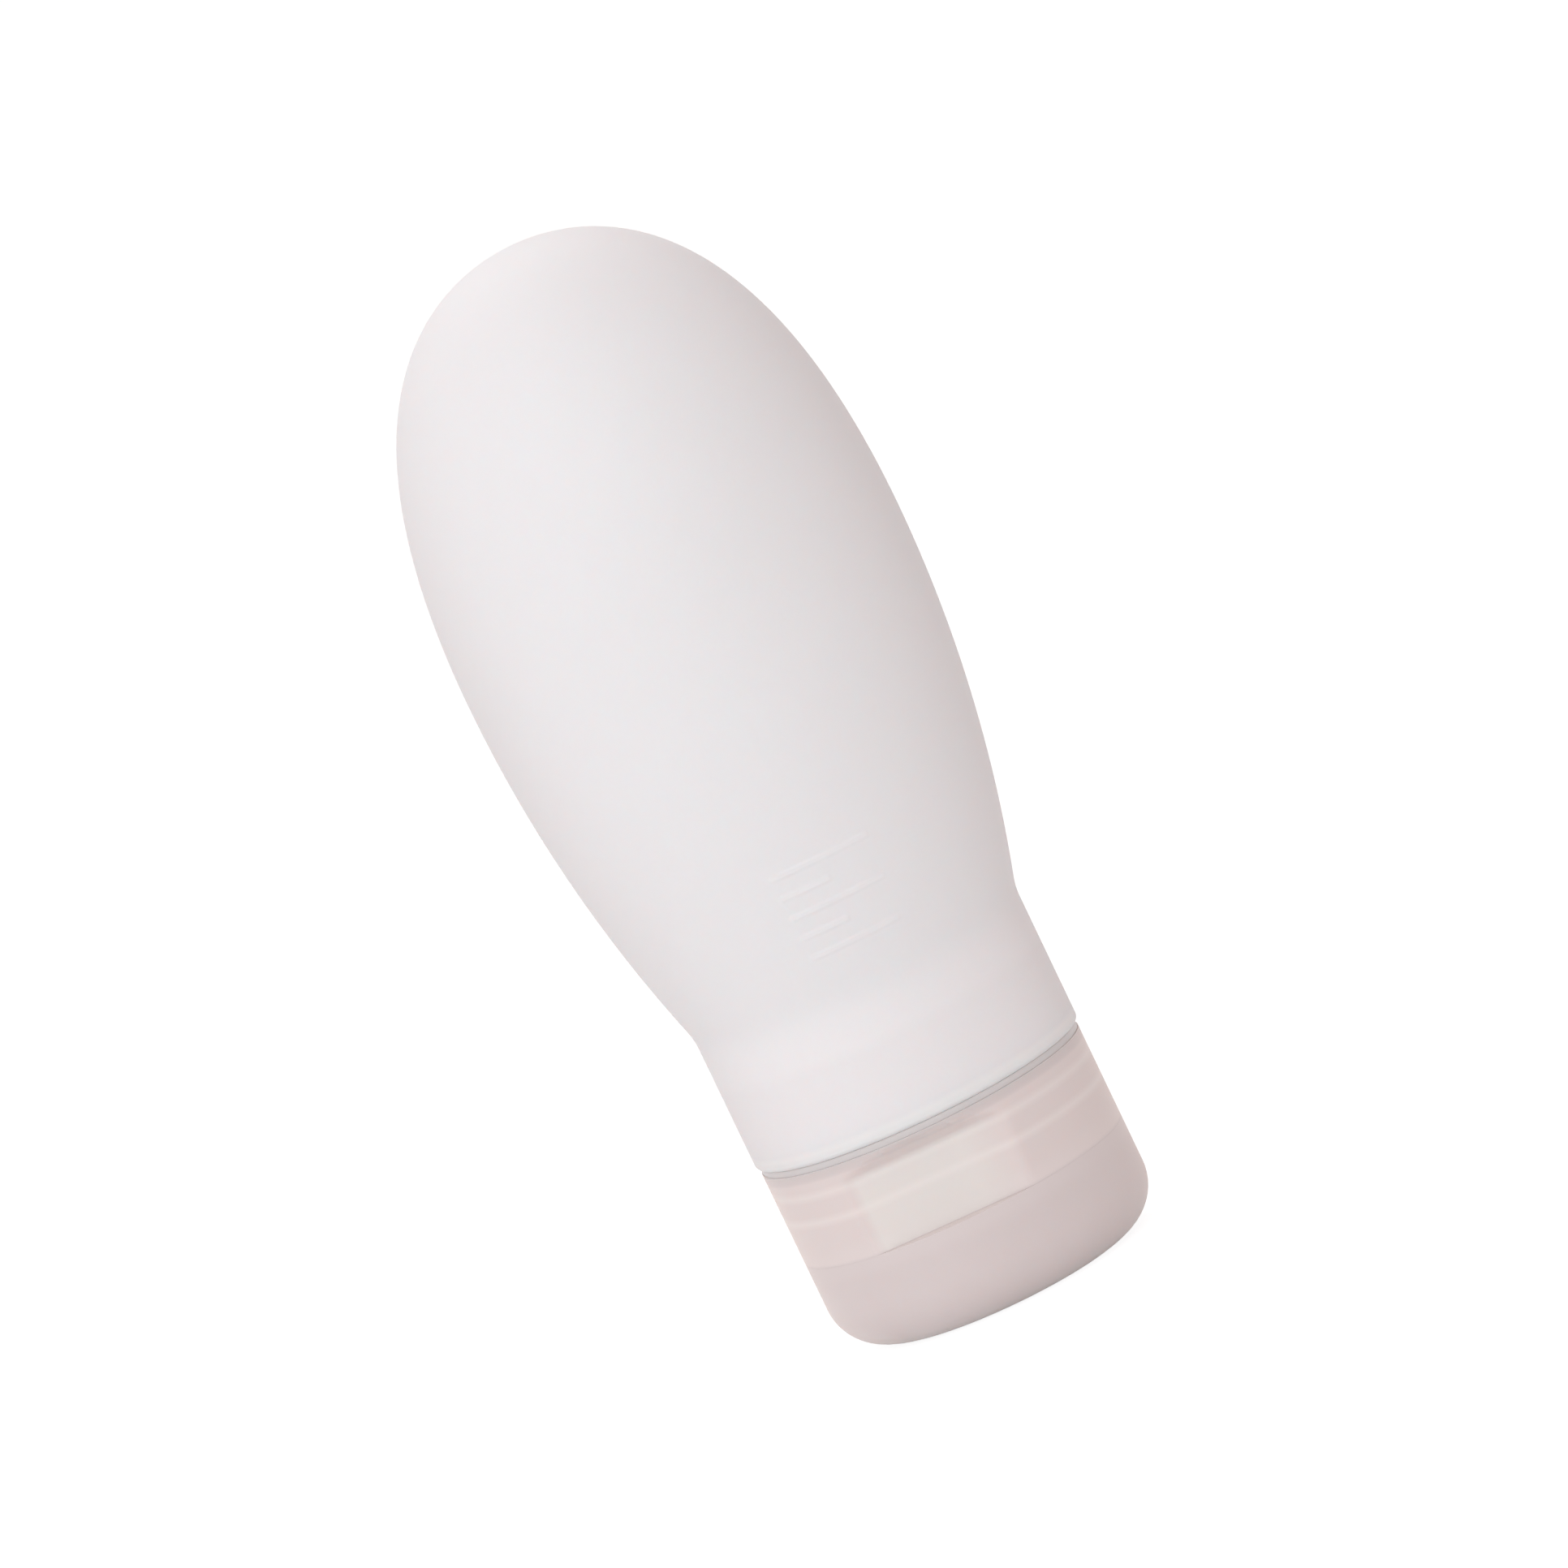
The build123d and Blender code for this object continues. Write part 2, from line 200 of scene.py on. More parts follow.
class CapSettings(bpy.types.PropertyGroup):
    """Sizes and colours of the screw cap and the flip lid"""

    lid_top: length("Lid height", 0.0095, "Height of the lid's rim")
    parting_gap: length("Parting gap", 0.0001, "Gap between lid and cap in the solids")
    shut_gap: length("Shut gap", 0.000004, "Gap that shows where lid, cap and collar close")
    parting_edge: length("Parting edge", 0.00001, "Radius of the edges that close on each other")
    dense_reach: length("Dense reach", 0.0018, "How far from their joint lid and cap scatter less light")
    dense_fade: length("Dense fade", 0.001, "Over how much of that reach the scattering comes back")
    spigot_radius: length("Spigot radius", 0.01375, "Step of the cap that the lid closes over")
    spigot_depth: length("Spigot depth", 0.00125, "How far that step reaches into the lid")
    deck_thickness: length("Deck thickness", 0.0014, "Thickness of the cap's deck")
    web_thickness: length("Web thickness", 0.0013, "Floor between the two skirts")
    inner_bore: length("Inner bore", 0.01275, "Bore of the threaded skirt")
    inner_wall: length("Inner wall", 0.001, "Thickness of the threaded skirt")
    outer_wall: length("Outer wall", 0.0012, "Thickness of the outer skirt")
    inner_relief: length("Inner relief", 0.0005, "How much lower the threaded skirt ends")
    edge: length("Edge", 0.00015, "Radius of the cap's edges")
    recess_width: length("Recess width", 0.0151, "Width of the thumb recess")
    recess_height: length("Recess height", 0.00745, "Height of the thumb recess")
    recess_lean: angle("Recess lean", 2.0, "How the recess leans in towards its top")
    recess_top: angle("Recess top", 30.0, "Slope of the recess's upper end")
    recess_soft: length("Recess softness", 0.0003, "Rounding of the recess's edges")
    nozzle_radius: length("Nozzle radius", 0.0058, "Outside of the nozzle")
    seat_radius: length("Seat radius", 0.0046, "Bore that holds valve and retainer")
    orifice_radius: length("Orifice radius", 0.0034, "Bore through the deck")
    retainer_width: length("Retainer width", 0.0015, "Width of the retainer ring")
    gasket_width: length("Gasket width", 0.0032, "Width of the sealing ring")
    lid_wall: length("Lid wall", 0.0016, "Thickness of the lid's side")
    lid_floor: length("Lid floor", 0.0014, "Thickness of the lid's flat end")
    lid_corner: length("Lid corner", 0.0049, "Radius of the lid's corner")
    bead_gap: length("Bead gap", 0.00003, "Gap between the lid's snap bead and the cap's step")
    bead_height: length("Bead height", 0.0005, "Height of that bead, and of the slope below it")
    boss_root: length("Boss root", 0.0026, "Radius of the seal boss at the floor")
    boss_tip: length("Boss tip", 0.002, "Radius of the seal boss at its tip")
    boss_high: length("Boss height", 0.0077, "Height of the seal boss's tip")
    gate_radius: length("Gate radius", 0.0011, "Dimple of the moulding gate in the flat end")
    gate_depth: length("Gate depth", 0.00018, "Depth of that dimple")
    knuckle_radius: length("Knuckle radius", 0.0015, "Outside of the hinge knuckles")
    knuckle_relief: length("Knuckle relief", 0.00025, "Room round the other piece's knuckle")
    knuckle_gap: length("Knuckle gap", 0.0003, "Gap between knuckles")
    ear_length: length("Ear length", 0.002, "Length of one ear of the cap")
    ear_rise: length("Ear rise", 0.0032, "How far the ears' webs reach up the cap")
    lug_drop: length("Lug drop", 0.003, "How far the lid's web reaches down")
    root_depth: length("Root depth", 0.0007, "How deep the webs are rooted")
    pin_gap: length("Pin gap", 0.00005, "Running gap round the pin")
    # Heights of the pale lines painted where light through the wall shows the thread
    line_low: length("Low thread line", 0.01395, "Height at which the thread first shows through")
    line_high: length("High thread line", 0.01645, "Height at which it shows through again")
    tint: colour("Tint", (0.73, 0.682, 0.682), "Cap plastic")
    # Also painted as the shadow that the silicone's lower edge casts on the cap's rim
    shade_tint: colour("Shade tint", (0.675, 0.63, 0.625), "Its denser places")
    # Painted light: the cap above the parting is painted lighter than the lid, for the light its double wall
    # scatters back
    double_wall_light_tint: colour("Wall tint", (0.775, 0.72, 0.71), "The cap's double wall")
    # Painted highlight: the thumb recess is painted palest, as where it reflects the softboxes
    recess_highlight_tint: colour("Panel tint", (0.81, 0.80, 0.78), "Thumb recess")
    # Painted light: pale level lines where light through the translucent wall shows the thread inside; the
    # upper one also stands for the highlight under the recess's top edge
    thread_light_tint: colour("Line tint", (0.90, 0.885, 0.865), "Lines where the thread shows through")


class StudioSettings(bpy.types.PropertyGroup):
    """Camera and lights"""

    azimuth: angle("Azimuth", 7.2, "How far round from the front the camera stands")
    elevation: angle("Elevation", 8.2, "How far above the level the camera stands")
    roll: angle("Roll", 25.6, "How far the bottle leans in the picture")
    distance: length("Distance", 1.5, "From the camera to the bottle")
    view_width: length("View width", 0.1408, "Width of the picture at the bottle")
    aim_height: length("Aim height", 0.04985, "Height on the axis that the camera looks at")
    aim_side: length("Aim side", 0.00122, "How far to the right of the axis it looks")
    floor_reach: length("Floor reach", 14.0, "Half the side of the floor")
    box_size: length("Softbox size", 0.5, "Side of a softbox")
    front_power: number("Front power", 2.1, "Softbox at the camera, in watts")
    left_power: number("Left power", 0.64, "Softbox on the left, in watts")
    top_power: number("Top power", 0.66, "Softbox overhead, in watts")
    back_power: number("Back power", 1.13, "Softbox high at the back, in watts")
    light_tint: colour("Light tint", (0.92, 0.975, 1.0), "Softboxes")
    world_strength: number("World", 0.54, "Even light from all round")
    world_tint: colour("World tint", (1.0, 0.82, 0.78), "That even light")


SETTINGS = (
    ("bottle_body", BodySettings),
    ("bottle_collar", CollarSettings),
    ("bottle_cap", CapSettings),
    ("bottle_studio", StudioSettings),
)


# Outlines and grids


def rounded(corners, steps=6):
    """Outline through corners (radius, height, rounding). A corner with a rounding becomes the arc that
    touches both of its sides: it starts rounding / tan(half the corner) away and keeps that radius. Long
    sides get a point close to each end, so that a rounding's shading stays its own."""
    corners = np.array(corners, float)
    points, radii = corners[:, :2], corners[:, 2]
    pieces = []
    for here, point in enumerate(points):
        if radii[here] == 0:
            pieces.append(point[None])
            continue
        before = points[here - 1] - point
        after = points[(here + 1) % len(points)] - point
        before, after = before / np.linalg.norm(before), after / np.linalg.norm(after)
        half = math.acos(np.clip(before @ after, -1, 1)) / 2
        middle = before + after
        centre = point + middle / np.linalg.norm(middle) * radii[here] / math.sin(half)
        start = point + before * radii[here] / math.tan(half) - centre
        end = point + after * radii[here] / math.tan(half) - centre
        sweep = math.pi - 2 * half
        turn = np.linspace(0, sweep, steps + 1)[:, None]
        pieces.append(centre + (np.sin(sweep - turn) * start + np.sin(turn) * end) / math.sin(sweep))
    outline = pieces[:1]
    for before, after in zip(pieces, pieces[1:]):
        side = after[:1] - before[-1:]
        reach = np.linalg.norm(side)
        if reach > 6 * SHADING_STEP:
            step = side / reach * SHADING_STEP
            outline += [before[-1:] + step, after[:1] - step]
        outline.append(after)
    return np.concatenate(outline)


def refined(points, longest, closed=False):
    """The same outline with even steps no longer than the longest one."""
    ends = np.roll(points, -1, axis=0) if closed else points[1:]
    pieces = []
    for start, end in zip(points, ends):
        count = max(1, math.ceil(np.linalg.norm(end - start) / longest))
        pieces.append(start + np.arange(count)[:, None] / count * (end - start))
    if not closed:
        pieces.append(points[-1:])
    return np.concatenate(pieces)


def even_turns(count):
    """Angles all round, evenly spaced."""
    return np.arange(count) * FULL_TURN / count


def focused_turns(count, *spans):
    """Angles all round, with spans (middle, half width, step) filled more finely."""
    turns = [even_turns(count)]
    for middle, half, step in spans:
        turns = [t[np.abs((t - middle + math.pi) % FULL_TURN - math.pi) > half] for t in turns]
        turns.append((middle + np.arange(-half, half + step / 2, step)) % FULL_TURN)
    return np.unique(np.round(np.concatenate(turns), 7))


def swept_round(radii, heights, turns):
    """Grid of points round the axis, from the radius and the height at every row and angle:
    x = radius * cos(turn), y = radius * sin(turn), z = height."""
    return np.stack(np.broadcast_arrays(radii * np.cos(turns), radii * np.sin(turns), heights), axis=-1)


def carried_round(outline, turns):
    """Surface of revolution: the outline's radius and height at every angle, as a grid of points."""
    return swept_round(outline[:, :1], outline[:, 1:], turns)


def soft_min(a, b, soft):
    """The lesser of two arrays, less blend**2 * soft / 4, where blend goes from 1 at equal values to 0 where
    they differ by the softness, so that one runs into the other in a round."""
    blend = np.clip(soft - np.abs(a - b), 0, None) / soft
    return np.minimum(a, b) - blend**2 * soft / 4


def soft_step(value, edge, soft):
    """0 below the edge and 1 above it, eased over the softness on each side by t * t * (3 - 2 * t)."""
    t = np.clip((value - edge) / (2 * soft) + 0.5, 0, 1)
    return t * t * (3 - 2 * t)


def grid_faces(rows, columns, closed_rows, closed_columns):
    """Four corner indices for every cell of a grid."""
    index = np.arange(rows * columns).reshape(rows, columns)
    if closed_rows:
        index = np.vstack([index, index[:1]])
    if closed_columns:
        index = np.hstack([index, index[:, :1]])
    cells = [index[:-1, :-1], index[1:, :-1], index[1:, 1:], index[:-1, 1:]]
    return np.stack(cells, axis=-1).reshape(-1, 4)


def add_mesh(name, points, quads, triangles):
    """Mesh object from arrays, with its faces turned outwards by the sign of its volume."""
    a, b, c, d = (points[quads[:, i]] for i in range(4))
    volume = np.sum(np.cross(a, b) * c) + np.sum(np.cross(a, c) * d)
    if len(triangles):
        a, b, c = (points[triangles[:, i]] for i in range(3))
        volume += np.sum(np.cross(a, b) * c)
    if volume < 0:
        quads, triangles = quads[:, ::-1], triangles[:, ::-1]
    mesh = bpy.data.meshes.new(name)
    mesh.from_pydata(points.tolist(), [], quads.tolist() + triangles.tolist())
    mesh.validate()
    mesh.shade_smooth()
    mesh.set_sharp_from_angle(angle=SHARP_ANGLE)
    piece = bpy.data.objects.new(name, mesh)
    bpy.context.scene.collection.objects.link(piece)
    return piece


def ring_piece(name, grid):
    """Closed surface from a grid whose rows and columns both run back to where they start."""
    rows, columns = grid.shape[:2]
    quads = grid_faces(rows, columns, True, True)
    return add_mesh(name, grid.reshape(-1, 3), quads, np.zeros((0, 3), int))


def poled_piece(name, grid):
    """Closed surface from a grid whose first and last rows each shrink to one point."""
    rows, columns = grid.shape[:2]
    points = np.concatenate([grid[:1, 0], grid[1:-1].reshape(-1, 3), grid[-1:, 0]])
    quads = grid_faces(rows - 2, columns, False, True) + 1
    here = np.arange(columns)
    beside = (here + 1) % columns
    first = np.stack([np.zeros(columns, int), here + 1, beside + 1], axis=-1)
    last_row = 1 + (rows - 3) * columns
    last = np.stack([here + last_row, np.full(columns, len(points) - 1), beside + last_row], axis=-1)
    return add_mesh(name, points, quads, np.concatenate([first, last]))


def turned_ring(name, corners, steps):
    """Ring of revolution through closed corners, with its columns and steps from the mesh table."""
    columns, longest = MESH[name]
    outline = refined(rounded(corners, steps), longest, closed=True)
    return ring_piece(name, carried_round(outline, even_turns(columns)))


def seat(piece, body, slot, material, *nodes):
    """Gives a piece its finish and its body, and hides the frame nodes that it stands for. The slot is not
    used.
    """
    piece.data.materials.clear()
    piece.data.materials.append(material)
    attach(piece, body)
    if nodes:
        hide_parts(*nodes)
    return piece


# Shader groups and finishes


def feed(tree, node, *values, **named):
    """Feeds a node's inputs in order and by name, with sockets or values. Underscores stand for spaces."""
    by_name = ((node.inputs[name.replace("_", " ")], value) for name, value in named.items())
    for socket, value in (*zip(node.inputs, values), *by_name):
        if isinstance(value, bpy.types.NodeSocket):
            tree.links.new(value, socket)
        else:
            socket.default_value = value
    return node


def add_node(tree, kind, *values, **named):
    """New node with its inputs fed."""
    return feed(tree, tree.nodes.new("ShaderNode" + kind), *values, **named)


def math_node(tree, operation, *values, clamp=False):
    """Math node; gives its result socket."""
    node = add_node(tree, "Math", *values)
    node.operation = operation
    node.use_clamp = clamp
    return node.outputs[0]


def mixed(tree, amount, first, second):
    """Mix of two colours; gives its result socket."""
    mix = tree.nodes.new("ShaderNodeMix")
    mix.data_type = "RGBA"
    return feed(tree, mix, Factor=amount, A=first, B=second).outputs["Result"]


def noise(tree, vector, scale, detail, roughness=0.5):
    """Noise node; gives its factor socket."""
    node = add_node(tree, "TexNoise", Vector=vector, Scale=scale, Detail=detail, Roughness=roughness)
    return node.outputs["Fac"]


def new_group(name, result, **inputs):
    """Shader group fed with a vector and the inputs, each a default number or a kind of socket. Gives its
    tree, its input sockets and its result socket."""
    group = bpy.data.node_groups.new(name, "ShaderNodeTree")
    for socket, kind in {"Vector": "Vector", **inputs}.items():
        default = kind if isinstance(kind, float) else None
        kind = "NodeSocket" + (kind if default is None else "Float")
        made = group.interface.new_socket(socket.replace("_", " "), in_out="INPUT", socket_type=kind)
        if default is not None:
            made.default_value = default
    kind = "NodeSocketColor" if result == "Color" else "NodeSocketFloat"
    group.interface.new_socket(result, in_out="OUTPUT", socket_type=kind)
    return group, group.nodes.new("NodeGroupInput").outputs, group.nodes.new("NodeGroupOutput").inputs[result]


def mould_texture_group():
    """Texture that the mould leaves: fine blasted grain over faint long waves, as a height."""
    group, given, result = new_group(
        "Mould texture", "Height", Grain_Scale=5200.0, Wave_Scale=90.0, Wave_Share=0.5
    )
    grain = noise(group, given["Vector"], given["Grain Scale"], detail=3.0, roughness=0.6)
    wave = noise(group, given["Vector"], given["Wave Scale"], detail=2.0, roughness=0.4)
    wave = math_node(group, "MULTIPLY", wave, given["Wave Share"])
    group.links.new(math_node(group, "ADD", grain, wave), result)


def cloud_tint_group():
    """Two tints mixed by soft clouds, as where the wall is thicker or the resin milkier."""
    group, given, result = new_group(
        "Cloud tint", "Color", Tint="Color", Shade_Tint="Color", Scale=60.0, Amount=0.3
    )
    cloud = noise(group, given["Vector"], given["Scale"], detail=2.0)
    amount = math_node(group, "MULTIPLY", cloud, given["Amount"], clamp=True)
    group.links.new(mixed(group, amount, given["Tint"], given["Shade Tint"]), result)


def handled_sheen_group():
    """Roughness that skin leaves on a matte surface: smoother smears and rougher dusty flecks."""
    group, given, result = new_group("Handled sheen", "Roughness", Roughness=0.5, Smear=0.08, Fleck=0.06)
    total = given["Roughness"]
    for change, scale, detail, roughness in (("Smear", 140.0, 4.0, 0.6), ("Fleck", 2600.0, 2.0, 0.5)):
        spots = math_node(group, "SUBTRACT", noise(group, given["Vector"], scale, detail, roughness), 0.5)
        spots = math_node(group, "MULTIPLY", spots, given[change])
        total = math_node(group, "ADD", total, spots, clamp=change == "Fleck")
    group.links.new(total, result)


def level_band_group():
    """Mask of a level band: 1 between two heights, eased in over the rise and out over the fall."""
    group, given, result = new_group("Level band", "Mask", Low=0.0, High=1.0, Rise=0.001, Fall=0.001)
    height = add_node(group, "SeparateXYZ", given["Vector"]).outputs["Z"]
    rise = math_node(group, "SUBTRACT", height, given["Low"])
    fall = math_node(group, "SUBTRACT", given["High"], height)
    rise = math_node(group, "DIVIDE", rise, given["Rise"], clamp=True)
    fall = math_node(group, "DIVIDE", fall, given["Fall"], clamp=True)
    group.links.new(math_node(group, "MULTIPLY", rise, fall), result)


GROUPS = {
    "Mould texture": mould_texture_group,
    "Cloud tint": cloud_tint_group,
    "Handled sheen": handled_sheen_group,
    "Level band": level_band_group,
}


def place_group(tree, name, vector, **values):
    """Group in a material, built the first time that a finish asks for it; gives its result socket."""
    if name not in bpy.data.node_groups:
        GROUPS[name]()
    node = tree.nodes.new("ShaderNodeGroup")
    node.node_tree = bpy.data.node_groups[name]
    return feed(tree, node, Vector=vector, **values).outputs[0]


def level_mask(low, high, rise, fall=None):
    """Mask of a level band, to be placed in a material."""
    return lambda tree, vector: place_group(
        tree, "Level band", vector, Low=low, High=high, Rise=rise, Fall=fall or rise
    )


def box_mask(low, high, rises, falls):
    """Mask of a box, to be placed in a material: a level band along each axis, turned upright, multiplied."""
    turned_upright = ((0, -math.pi / 2, 0), (math.pi / 2, 0, 0), (0, 0, 0))

    def place(tree, vector):
        mask = 1.0
        for start, end, rise, fall, turn in zip(low, high, rises, falls, turned_upright):
            upright = add_node(tree, "Mapping", Vector=vector, Rotation=turn).outputs[0]
            mask = math_node(tree, "MULTIPLY", level_mask(start, end, rise, fall)(tree, upright), mask)
        return mask

    return place


def new_material(name):
    """Material; gives it with its tree, its shader and the object's own coordinates."""
    material = bpy.data.materials.new(name)
    material.use_nodes = True
    tree = material.node_tree
    coordinates = tree.nodes.new("ShaderNodeTexCoord").outputs["Object"]
    return material, tree, tree.nodes["Principled BSDF"], coordinates


def bumped(tree, height, strength, distance):
    """Normal that a height field gives."""
    return add_node(tree, "Bump", Height=height, Strength=strength, Distance=distance).outputs["Normal"]


def moulded_finish(
    name, tint, shade_tint, roughness, grain, depth, clouds, scatter,
    smear=0.08, patches=(), sheen_tint=None, dense=None,
):
    """Material of a moulded piece: clouded tint, handled sheen and mould texture on a scattering base. Clouds
    are given by scale and amount, the scattering by weight, radius and scale, each patch by mask, tint and
    amount. A sheen brings out the thin, lit edges. Where the dense mask is full, the piece scatters nothing,
    so that no light is lost in a closed joint."""
    if name in bpy.data.materials:
        return bpy.data.materials[name]
    material, tree, shader, vector = new_material(name)
    tints = {"Tint": (*tint, 1), "Shade Tint": (*shade_tint, 1)}
    base = place_group(tree, "Cloud tint", vector, **tints, Scale=clouds[0], Amount=clouds[1])
    # The patches paint light and shade into the colour, as bands and panels lighter or darker than the rest
    for place_mask, patch_tint, amount in patches:
        share_there = math_node(tree, "MULTIPLY", place_mask(tree, vector), amount)
        base = mixed(tree, share_there, base, (*patch_tint, 1))
    sheen = place_group(tree, "Handled sheen", vector, Roughness=roughness, Smear=smear, Fleck=0.05)
    texture = place_group(tree, "Mould texture", vector, Grain_Scale=grain, Wave_Scale=70.0, Wave_Share=0.6)
    weight, radius, scale = scatter
    if dense:
        open_share = math_node(tree, "SUBTRACT", 1.0, dense(tree, vector))
        weight = math_node(tree, "MULTIPLY", open_share, weight)
    feed(
        tree, shader, Base_Color=base, Roughness=sheen, Normal=bumped(tree, texture, 0.35, depth),
        IOR=1.43, Specular_IOR_Level=0.35,
        Subsurface_Weight=weight, Subsurface_Radius=radius, Subsurface_Scale=scale,
    )
    if sheen_tint:
        feed(tree, shader, Sheen_Weight=0.25, Sheen_Roughness=0.4, Sheen_Tint=(*sheen_tint, 1))
    return material


def silicone_finish():
    """Frosted, milky silicone of the body. Painted shade darkens the neck, where the collar behind the wall
    lets less light through, and a painted highlight lightens the skirt's lower edge.
    """
    body = bpy.context.scene.bottle_body
    # Painted shade over the neck, from the seam up to the top of the collar's barrel
    neck = level_mask(SEAM_HEIGHT, BARREL_HIGH, rise=0.0012)
    # Painted highlight along the skirt's rounded lower edge
    painted_edge_highlight = level_mask(SEAM_HEIGHT - body.lip_round, SEAM_HEIGHT + 3 * body.lip_round, body.lip_round)
    return moulded_finish(
        "frosted_silicone", body.tint, body.shade_tint, roughness=0.58, grain=5200.0, depth=0.00003,
        clouds=(45.0, 0.45), scatter=(0.55, (1.0, 0.62, 0.55), 0.0042),
        patches=[(neck, body.neck_shade_tint, 0.8), (painted_edge_highlight, body.skirt_edge_highlight_tint, 0.8)],
    )


def seal_finish():
    """Satin silicone of the valve and the sealing ring."""
    body = bpy.context.scene.bottle_body
    return moulded_finish(
        "satin_silicone", body.tint, body.shade_tint, roughness=0.45, grain=6000.0, depth=0.00002,
        clouds=(200.0, 0.5), scatter=(0.5, (1.0, 0.7, 0.62), 0.0015),
    )


def cap_finish():
    """Frosted plastic of the cap and the lid, faintly pink grey. Light and shade are painted into its colour:
    the cap above the parting is painted lighter than the lid, for the light its two skirts scatter back; the
    recess carries a painted highlight that fades towards the right, away from the light; the rim under the
    seam carries a painted shadow from the silicone's edge; and pale lines are painted where light through
    the wall shows the thread."""
    cap = bpy.context.scene.bottle_cap
    base_low = cap_levels()[0]
    recess_high = base_low + cap.recess_height
    half = cap.recess_width / 2
    soft = cap.recess_soft
    # The recess's painted highlight fades slowly towards the right, away from the light, and sharply on the
    # left
    rises, falls = (3 * soft, soft, soft / 3), (14 * soft, soft, 2 * soft)
    painted_recess_highlight = box_mask((-half, -CAP_RADIUS, base_low), (half, 0, recess_high), rises, falls)
    patches = [
        # Painted light over the cap above the parting, lighter than the lid
        (level_mask(base_low, recess_high + 3 * soft, soft), cap.double_wall_light_tint, 0.9),
        # Painted highlight over the thumb recess
        (painted_recess_highlight, cap.recess_highlight_tint, 0.9),
        # Painted shadow: the rim below the seam is painted darker, where the silicone's lower edge shades it
        (level_mask(recess_high + 2 * soft, SEAM_HEIGHT, 2 * soft), cap.shade_tint, 0.7),
    ]
    # Painted light: pale lines where the thread inside shows through the lit wall
    for line in (cap.line_low, cap.line_high):
        patches.append((level_mask(line - 2 * soft, line + 2 * soft, 2 * soft), cap.thread_light_tint, 0.4))
    return moulded_finish(
        "frosted_cap_plastic", cap.tint, cap.shade_tint, roughness=0.42, grain=4200.0, depth=0.00002,
        clouds=(80.0, 0.5), scatter=(0.5, (1.0, 0.62, 0.52), 0.001), smear=0.12, patches=patches,
        sheen_tint=(1.0, 0.82, 0.72),
        dense=level_mask(base_low - cap.dense_reach, base_low + cap.dense_reach, cap.dense_fade),
    )


def collar_finish():
    """Plain moulded plastic of the collar and the retainer."""
    scene = bpy.context.scene
    return moulded_finish(
        "frosted_collar_plastic", scene.bottle_collar.tint, scene.bottle_cap.tint, roughness=0.4,
        grain=4200.0, depth=0.00002, clouds=(120.0, 0.5), scatter=(0.35, (1.0, 0.6, 0.5), 0.002),
    )


def pin_finish():
    """Satin steel of the pin, with fine drawing lines along its length."""
    material, tree, shader, vector = new_material("drawn_pin_steel")
    along = add_node(tree, "Mapping", Vector=vector, Scale=(0.04, 1.0, 1.0)).outputs[0]
    lines = place_group(tree, "Mould texture", along, Grain_Scale=9000.0, Wave_Share=0.2)
    sheen = place_group(tree, "Handled sheen", vector, Roughness=0.3, Smear=0.1)
    feed(tree, shader, Normal=bumped(tree, lines, 0.3, 0.00001), Roughness=sheen)
    feed(tree, shader, Base_Color=(0.62, 0.62, 0.63, 1), Metallic=1.0)
    return material


# Silicone body


def arc_between(centre, radius, start, end, count):
    """Points on a circle from one angle to another, as radius and height: centre + radius * (cos, sin)."""
    turn = np.linspace(start, end, count)
    return np.stack([centre[0] + radius * np.cos(turn), centre[1] + radius * np.sin(turn)], axis=-1)


def dome_curve(radius, foot, crown, count):
    """Cubic curve from the axis at the crown, flat there, to the widest ring at the foot, upright there. Its
    four controls are weighed by (1 - t)**3, 3t * (1 - t)**2, 3t**2 * (1 - t) and t**3."""
    body = bpy.context.scene.bottle_body
    rise = crown - foot
    beside = (radius * body.tip_fullness, crown)
    above = (radius, foot + rise * body.side_fullness)
    controls = np.array([(0, crown), beside, above, (radius, foot)])
    t = np.linspace(0, 1, count)[:, None]
    weights = np.hstack([(1 - t) ** 3, 3 * t * (1 - t) ** 2, 3 * t**2 * (1 - t), t**3])
    return weights @ controls


